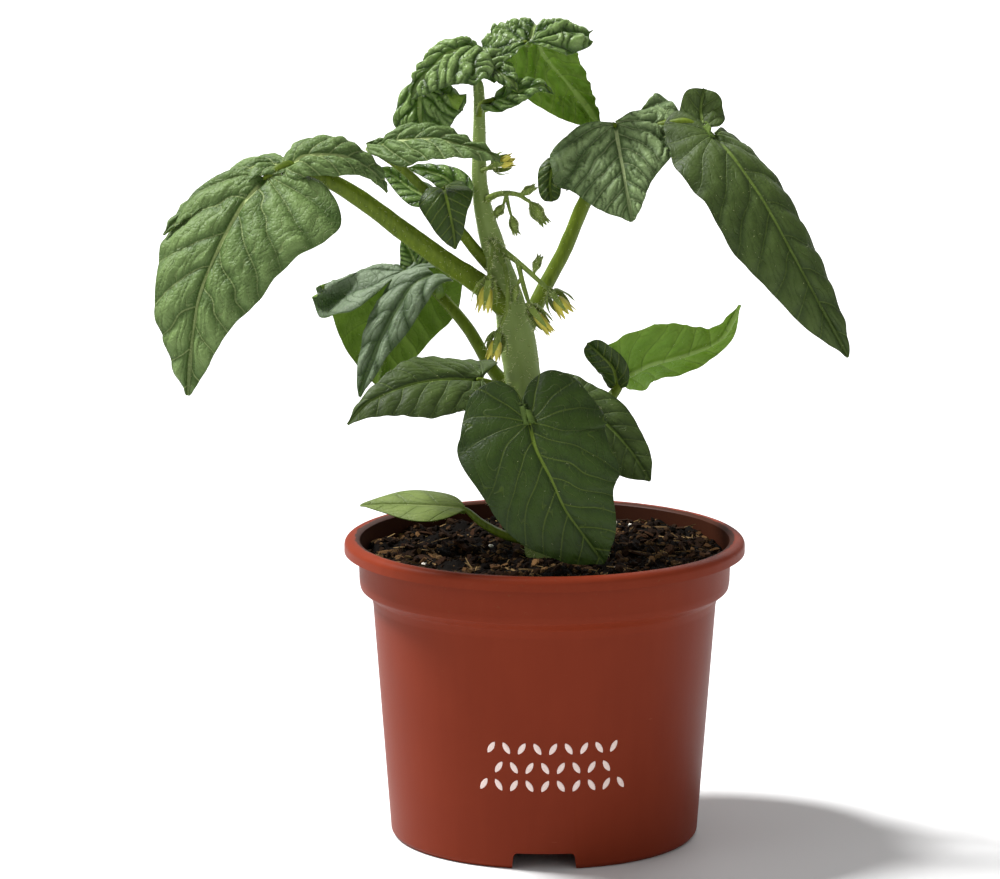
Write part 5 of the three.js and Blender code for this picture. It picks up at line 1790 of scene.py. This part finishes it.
@dataclass(frozen=True)
class Truss:
    """A flower truss: stalks, buds and the green parts of its open flowers."""

    node: str
    stalks: tuple[Stalk, ...]
    buds: tuple[Bud, ...] = ()
    flowers: tuple[Flower, ...] = ()

    def build(self) -> Object:
        """Makes the truss in place of its node."""
        shell = Shell(self.node + "_skin").add(*(stalk.patch() for stalk in self.stalks))
        for grown in (*self.flowers, *self.buds):
            shell.add(*grown.green())
        made = shell.build([Green.FLOWER.value.material()])
        return place_piece(made, "sepals", self.node)


FLOWERS = (
    Flower((-16.5, -14, 171), (-18.5, -14.5, 158), 1, 2.6),
    Flower((-13.5, -17, 155.5), (-16, -17.5, 146), 0.8, 2.4),
    Flower((1.6, -11.6, 166.8), (8.2, -12, 158.5), 0.85, 2.9),
    Flower((-4.5, -13, 162.5), (4.5, -14, 151.5), 1, 1.5),
    Flower((-15.5, -6, 203), (-9, -7.5, 205.5), 0.6, 2),
)


def flower_stalk(*points: tuple) -> Stalk:
    """A stalk of a truss."""
    return Stalk(points, 14)


def trusses() -> tuple[Truss, ...]:
    """The flower trusses, each with its stalks, buds and open flowers."""
    lower = Truss("truss_lower", (
        flower_stalk((-15.5, 0, 178.5, 1.4), (-15.5, -5, 180, 1.2), (-16, -10, 177, 0.8),
                     (-16.5, -14, 172.5, 0.7)),
        flower_stalk((-15, -4, 179.5, 1.1), (-11.5, -8, 172, 0.8), (-11, -13, 163, 0.7),
                     (-13, -16.5, 157, 0.7)),
        flower_stalk((-15, -3, 179.5, 1.1), (-7.5, -8, 174.5, 0.8), (-2, -11, 170, 0.7),
                     (1.2, -12, 167.2, 0.7)),
        flower_stalk((-8, -8, 174.8, 0.7), (-6.5, -11, 169, 0.7), (-4.8, -13, 163.5, 0.7)),
    ), (
        Bud(((-3.5, -10, 171.2, 0.6),), (-3, -9.5, 173), (-1, -8, 178), 4, 1.2),
        Bud(((-7, -10, 170.5, 0.6),), (-8.5, -11.5, 168), (-9, -12, 163), 4, 1.2),
    ), FLOWERS[:4])
    upper = Truss("truss_upper", (
        flower_stalk((-18.5, 0, 191.5, 1.1), (-14, -6, 194.8, 0.9), (-8.5, -11, 195.5, 0.7),
                     (-4, -12, 193, 0.6)),
    ), (
        Bud(((-5, -11.9, 193.9, 0.6),), (-4, -12, 192.8), (0.5, -13, 186.5), 6.6, 1.9),
        Bud(((-8.5, -11, 195.5, 0.6),), (-6.5, -11.7, 195.8), (-2.5, -12.5, 198.3), 4, 1.2),
        Bud(((-11.5, -9, 195.2, 0.6), (-10.5, -11, 191, 0.5)), (-9.7, -12, 188.6),
            (-8, -12, 182.5), 4.6, 1.3),
        Bud(((-11.2, -9.4, 195.3, 0.6),), (-12.5, -11.5, 192), (-15.5, -13, 188.5), 3.6, 1.3),
    ))
    single = Truss("flower_stalk_single", (
        flower_stalk((-19.3, 0.3, 200.5, 0.8), (-17.5, -4, 202, 0.7), (-15.8, -6, 202.9, 0.7)),
    ), (), FLOWERS[4:])
    return lower, upper, single


def build_petals() -> None:
    """Makes the yellow part of each open flower in place of its node."""
    for number, flower in enumerate(FLOWERS, 1):
        name = f"petals_{number}"
        shell = Shell(name + "_yellow").add(*flower.yellow())
        place_piece(shell.build([PETAL.material(), ANTHER.material()]), "petals", name)


# Pot

@dataclass(frozen=True)
class Pot:
    """The moulded nursery pot, in millimetres."""

    rim_radius: float = 60
    rim_top: float = 90.7
    collar_radius: float = 55.8
    collar_foot: float = 74.8
    base_radius: float = 46.1
    slope: float = 0.075
    wall: float = 1
    floor_top: float = 6.4
    foot_radius: float = 15
    lip_centre: Pair = (57.4, 88.6)
    lip_half: Pair = (2.6, 2.1)
    notch_count: int = 3
    notch_height: float = 5
    notch_width: float = 18
    drain_count: int = 6
    drain_radius: float = 3.5
    drain_circle: float = 34
    sides: int = 216
    edge_round: float = 0.45
    sharp_deg: float = 38

    def body_radius(self, z: float) -> float:
        """Outer radius of the tapered body at a height."""
        return self.base_radius + self.slope * z

    def lip_arc(self, start: float, stop: float, inset: float, count: int) -> list[Pair]:
        """Points of the rolled lip between two turns, given in half turns."""
        turns = np.linspace(start, stop, count) * math.pi
        return [(self.lip_centre[0] + (self.lip_half[0] - inset) * math.cos(t),
                 self.lip_centre[1] + (self.lip_half[1] - inset) * math.sin(t)) for t in turns]

    def profile(self) -> list[Pair]:
        """The closed outline that is turned, as (radius, height)."""
        w, foot, collar, radius = self.wall, self.collar_foot, self.collar_radius, self.body_radius
        under = self.floor_top - w
        lip_x, lip_z = self.lip_centre
        outside = [(self.foot_radius, 0), (self.foot_radius + 4, under), (43.5, under),
                   (43.8, 0.4), (44.2, 0), (45.2, 0), (radius(1.2), 1.2),
                   (radius(foot - 4), foot - 4), (radius(foot) + 0.4, foot - 1.4),
                   (collar - 2, foot - 0.1), (collar - 0.6, foot + 1), (collar - 0.3, foot + 3),
                   (lip_x - 1.6, lip_z - 1.2)]
        hook = self.lip_arc(0.72, 0.08, w, 7) + [(self.rim_radius - w, lip_z - 2),
                                                 (self.rim_radius, lip_z - 2)]
        lip = self.lip_arc(0.0, 0.78, 0, 13)
        inside = [(collar - w - 0.3, foot + 2), (collar - w - 1.6, foot + 0.9),
                  (radius(73) - w + 0.4, foot - 0.8), (radius(70) - w, foot - 4.6),
                  (radius(self.floor_top + 1.4) - w, self.floor_top + 1.4),
                  (radius(self.floor_top) - w - 1.2, self.floor_top),
                  (self.foot_radius + 3.4, self.floor_top), (self.foot_radius - 0.6, w)]
        return self.rounded(outside) + hook + lip + self.rounded(inside)

    def rounded(self, corners: list[Pair]) -> list[Pair]:
        """The corners between the first and the last, each cut by a small round."""
        points = [corners[0]]
        for before, corner, after in zip(corners, corners[1:], corners[2:]):
            b, c, a = (np.array(spot, float) for spot in (before, corner, after))
            room = [min(self.edge_round, 0.4 * float(np.linalg.norm(c - other)))
                    for other in (b, a)]
            start = c + (b - c) / np.linalg.norm(b - c) * room[0]
            stop = c + (a - c) / np.linalg.norm(a - c) * room[1]
            for t in (0, 0.33, 0.67, 1):
                points.append(tuple((1 - t) ** 2 * start + 2 * t * (1 - t) * c + t * t * stop))
        return points + [corners[-1]]

    def turned(self) -> Object:
        """The profile turned round the axis, with flat round plates at its middle."""
        body = turned_rings(self.profile(), self.sides)
        out = turned_rings([(1, 0)], self.sides)[..., :2]
        drift = 0.03 * wander(body, 14, 3) * (body[..., 2] > 8)
        body[..., :2] += out * drift[..., None]
        middles = np.array(((0, 0, 0), (0, 0, self.wall)), float)
        return Shell("pot_turned").add(ring_patch(body, middles)).build([])

    def cutters(self) -> Object:
        """The notches in the standing ring and the drain holes, as one object."""
        shell = Shell("pot_cutters")
        for k in range(self.notch_count):
            shell.add(self.notch(2 * math.pi * k / self.notch_count))
        ends = [(self.drain_radius, self.floor_top - 3 * self.wall),
                (self.drain_radius, self.floor_top + self.wall)]
        for k in range(self.drain_count):
            turn = 2 * math.pi * (k + 0.25) / self.drain_count
            centre = (self.drain_circle * math.cos(turn), self.drain_circle * math.sin(turn))
            shell.add(prism_patch(turned_rings(ends, 32, centre)))
        return shell.build([])

    def notch(self, turn: float, corner: float = 1.1) -> Patch:
        """A notch's outline with round upper corners, carried through the wall at -y and then
        turned round the axis."""
        half, high = self.notch_width / 2, self.notch_height
        right = [(half + 0.6, -1), (half + 0.05, high - corner),
                 (half - 0.3 * corner, high - 0.3 * corner), (half - corner, high)]
        left = [(-x, z) for x, z in right]
        outline = [left[0], *right, *left[:0:-1]]
        rows = [[(x, y, z) for x, z in outline] for y in (-40, -52)]
        c, s = math.cos(turn), math.sin(turn)
        points = np.array(rows, float).reshape(-1, 3)
        points = points @ np.array(((c, s, 0), (-s, c, 0), (0, 0, 1)))
        return prism_patch(points.reshape(2, -1, 3))

    def build(self) -> None:
        """Makes the pot in place of its node, and the print on its front."""
        body = self.turned()
        cutters = self.cutters()
        cut = body.modifiers.new("cut", "BOOLEAN")
        cut.operation = "DIFFERENCE"
        cut.solver = "EXACT"
        cut.object = cutters
        made = baked(body, "pot_body")
        for spare in (body, cutters):
            bpy.data.objects.remove(spare)
        made.data.materials.clear()
        made.data.materials.append(PotFinish().new())
        set_faces(made, "material_index", 0)
        made.data.set_sharp_from_angle(angle=math.radians(self.sharp_deg))
        place_piece(made, "pot_plastic", "pot")
        place_piece(self.printed(), "pot_plastic")

    def printed(self) -> Object:
        """Three plain rows of small leaf shapes, printed on the front."""
        shell = Shell("pot_print")
        middle, pitch, lean = 2.6, 4.6, 0.55
        for z, count in ((37.3, 9), (31.4, 8), (25.9, 10)):
            for k in range(count):
                x = (k - (count - 1) / 2) * pitch
                turn = math.pi / 2 + (lean if k % 2 else -lean)
                shell.add(self.lens(x + middle, z, 2.0, 0.8, turn))
        return shell.build([PRINT.material()])

    def lens(self, x: float, z: float, half_long: float, half_wide: float,
             turn: float) -> Patch:
        """A thin pointed lens laid on the pot's wall.

        Args:
            x: distance from the front's middle, round the wall.
            z: height of its centre.
            half_long: half its length.
            half_wide: half its width.
            turn: the angle of its long axis.

        Returns:
            The closed patch.
        """
        u = np.linspace(-1, 1, 15)
        width = half_wide * (1 - u ** 2) ** 0.8 + 0.02
        across = np.linspace(-1, 1, 5)
        a = half_long * u[:, None]
        b = width[:, None] * across[None]
        along = x + a * math.cos(turn) - b * math.sin(turn)
        high = z + a * math.sin(turn) + b * math.cos(turn)
        faces = []
        for lift in (0.05, -0.06):
            radius = self.body_radius(high) + lift
            angle = along / radius
            faces.append(np.stack([radius * np.sin(angle), -radius * np.cos(angle), high],
                                  axis=-1))
        marks = no_marks(faces[0].shape[0] * faces[0].shape[1], 0)
        return sheet_patch(faces[0], faces[1], marks, marks)


# Soil

@dataclass(frozen=True)
class Soil:
    """The potting mix, in millimetres, with what lies on it."""

    pot: Pot
    level: float = 85
    top_radius: float = 54.3
    rings: int = 110
    sides: int = 260

    def height(self, x: Array, y: Array) -> Array:
        """Height of the soil's surface."""
        mound = 2.6 * np.exp(-((x - 28) ** 2 + (y - 22) ** 2) / 420)
        dip = 1.2 * np.exp(-((x + 26) ** 2 + (y + 14) ** 2) / 300)
        rolls = (0.7 * np.sin(0.31 * x + 0.23 * y) + 0.6 * np.cos(0.19 * x - 0.37 * y + 2)
                 + 0.5 * np.sin(0.74 * x + 1.1) * np.cos(0.63 * y))
        return self.level + mound - dip + rolls

    def bed(self) -> Object:
        """The closed body of soil, rough on top."""
        radius = self.top_radius * np.linspace(1, 0, self.rings, endpoint=False) ** 0.85
        top = turned_rings([(r, 0) for r in radius], self.sides)
        x, y = top[..., 0], top[..., 1]
        z = self.height(x, y) - np.clip((np.hypot(x, y) - 50) / 4.3, 0, 1) * 0.8
        for high, size, seed in ((0.9, 3.4, 1), (0.5, 1.5, 2), (0.25, 0.8, 3)):
            z = z + high * wander(top, size, seed)
        top[..., 2] = z
        pot = self.pot
        clear = pot.wall + CLEAR

        def inner(height: float) -> float:
            """Radius just clear of the pot's wall."""
            return pot.body_radius(height) - clear

        low = pot.floor_top
        side = [(self.top_radius, self.level - 2.5),
                (self.top_radius - 1.6, pot.collar_foot + 1.6),
                (inner(72.5), pot.collar_foot + 0.6), (inner(70) - 0.1, 70.4),
                (inner(low + 1.6) - 0.1, low + 1.8), (inner(low) - 1.5, low + CLEAR),
                (pot.foot_radius + 2.6, low + CLEAR), (pot.foot_radius - 1.2, pot.wall + CLEAR)]
        patch = ring_patch(np.concatenate([turned_rings(side[::-1], self.sides), top]))
        x, y, z = patch.points.T
        strewn = ((z > self.level - 4) & (np.hypot(x, y) < self.top_radius - 0.8)
                  & (np.hypot(x - 0.2, y) > 6.2))
        patch.marks = no_marks(len(z), strewn.astype(float))
        return Shell("soil_mix").add(patch).build([SOIL.material()])

    def keep_in_pot(self, strewing: Object) -> None:
        """Moves the points of strewn bits that reach the pot's wall back from it."""
        points = points_of(strewing)
        from_axis = np.hypot(points[:, 0], points[:, 1])
        points[:, :2] *= np.minimum(1, self.top_radius * MM / from_axis)[:, None]
        move_points(strewing, points)

    def build(self, tree: ScatterTree, bits: Bits) -> None:
        """Makes the soil in place of its node and strews it with crumbs, bark and fibres."""
        bed = self.bed()
        crumbs = CRUMBS.material()
        # Name, bit, bits a square centimetre, least and greatest size, material, how uneven,
        # how far it leans and seed.
        strewings = (
            Scatter("soil_fines", bits.crumb, 42, 0.5, 1.3, crumbs, 0.35, 0.8, 2),
            Scatter("soil_lumps", bits.crumb, 9, 1.3, 3.0, crumbs, 0.35, 0.6, 3),
            Scatter("soil_bark", bits.chip, 2.6, 3.0, 7.5, BARK.material(), 0.3, 0.45, 4),
            Scatter("soil_fibres", bits.fibre, 3.2, 4.0, 10.0, FIBRE.material(), 0.2, 0.35, 6),
            Scatter("soil_perlite", bits.crumb, 0.14, 1.2, 2.2, PERLITE.material(), 0.2, 0.5, 8),
        )
        for strewing in strewings:
            made = strewing.over(tree, bed)
            self.keep_in_pot(made)
            set_faces(made, "use_smooth", False)
            place_piece(made, "potting_mix")
        place_piece(bed, "potting_mix", "soil")


# Studio

@dataclass(frozen=True)
class Studio:
    """The floor, the lights and the camera."""

    camera_place: Triple = (0, -1.5, 0.40487)
    pitch: float = 0.1876
    yaw: float = 0.0089
    focal_px: float = 5115.5
    picture_width_px: float = 1000
    sensor_mm: float = 36
    ambient: float = 0.38
    target: Triple = (0, 0, 0.14)

    def build(self) -> None:
        """Makes all of it."""
        self.camera()
        self.floor()
        self.sun((-0.5, 0.14, 0.84), strength=6.8, softness_deg=12)
        self.panel("left", (-0.55, -0.35, 0.32), size=0.35, watts=0.6)
        self.panel("front", (0.9, -1.8, 0.7), size=1.2, watts=4)
        self.panel("behind", (0.5, 1.6, 1.3), size=1.2, watts=10)
        world = bpy.data.worlds.new("studio")
        world.use_nodes = True
        back = world.node_tree.nodes["Background"]
        back.inputs["Color"].default_value = (1, 1, 1, 1)
        back.inputs["Strength"].default_value = self.ambient
        bpy.context.scene.world = world
        bpy.context.scene.view_settings.view_transform = "Standard"

    def camera(self) -> None:
        """A camera at the photograph's viewing angle."""
        data = bpy.data.cameras.new("camera")
        data.sensor_width = self.sensor_mm
        data.lens = self.focal_px * self.sensor_mm / self.picture_width_px
        made = in_scene("camera", data)
        made.location = self.camera_place
        made.rotation_euler = (math.pi / 2 - self.pitch, 0, self.yaw)
        bpy.context.scene.camera = made

    def floor(self) -> None:
        """A wide pale floor."""
        mesh = bpy.data.meshes.new("floor")
        reach = 6
        corners = [(-reach, -reach, 0), (reach, -reach, 0), (reach, reach, 0), (-reach, reach, 0)]
        mesh.from_pydata(corners, [], [(0, 1, 2, 3)])
        made = in_scene("floor", mesh)
        book = NodeBook("floor_pale")
        mesh.materials.append(book.surface({"Base Color": (0.66, 0.66, 0.66), "Roughness": 0.9}))

    @staticmethod
    def aimed(data: bpy.types.Light, place: Triple, target: Triple) -> None:
        """Sets a light at a place and turns it to a target."""
        made = in_scene(data.name, data)
        made.location = place
        aim = np.array(target) - np.array(place)
        pitch = math.acos(-aim[2] / float(np.linalg.norm(aim)))
        made.rotation_euler = (pitch, 0, math.atan2(aim[1], aim[0]) - math.pi / 2)

    def sun(self, toward: Triple, strength: float, softness_deg: float) -> None:
        """A distant soft light from that direction."""
        data = bpy.data.lights.new("key", "SUN")
        data.energy = strength
        data.angle = math.radians(softness_deg)
        self.aimed(data, toward, (0, 0, 0))

    def panel(self, name: str, place: Triple, size: float, watts: float) -> None:
        """A square soft light that faces the plant."""
        data = bpy.data.lights.new(name, "AREA")
        data.size = size
        data.energy = watts
        self.aimed(data, place, self.target)


# Hairs, and the whole plant

@dataclass(frozen=True)
class HairCoat:
    """The hairs on pieces of one kind, in millimetres."""

    slot: str
    per_cm2: float
    shortest: float
    longest: float
    lean: float
    first_seed: int
    uneven: float = 0.1

    def grow(self, tree: ScatterTree, bits: Bits, pieces: list[Object]) -> None:
        """Sets hairs on each piece."""
        for seed, piece in enumerate(pieces, self.first_seed):
            name = piece.name.rsplit("_", 1)[0] + "_hairs"
            hairs = Scatter(name, bits.hair, self.per_cm2, self.shortest, self.longest,
                            HAIR.material(), self.uneven, self.lean, seed)
            place_piece(hairs.over(tree, piece), self.slot)


def main() -> None:
    """Builds the studio and then the plant, from the pot up."""
    logging.basicConfig(level=logging.INFO, format="%(name)s %(message)s")
    Studio().build()
    tree = ScatterTree()
    bits = Bits()
    pot = Pot()
    pot.build()
    Soil(pot).build(tree, bits)
    stem = Stem().build()
    leaves = [leaf.build() for leaf in (*main_leaves(), *crown_leaves())]
    green = [truss.build() for truss in trusses()]
    build_petals()
    HairCoat("stem_skin", per_cm2=38, shortest=0.7, longest=1.9, lean=0.45,
             first_seed=21).grow(tree, bits, [stem])
    HairCoat("leaf_skin", per_cm2=26, shortest=0.35, longest=0.9, lean=0.6,
             first_seed=30).grow(tree, bits, leaves)
    HairCoat("sepals", per_cm2=80, shortest=0.5, longest=1.5, lean=0.5,
             first_seed=50).grow(tree, bits, green)
    bits.remove()


if __name__ == "__main__":
    main()
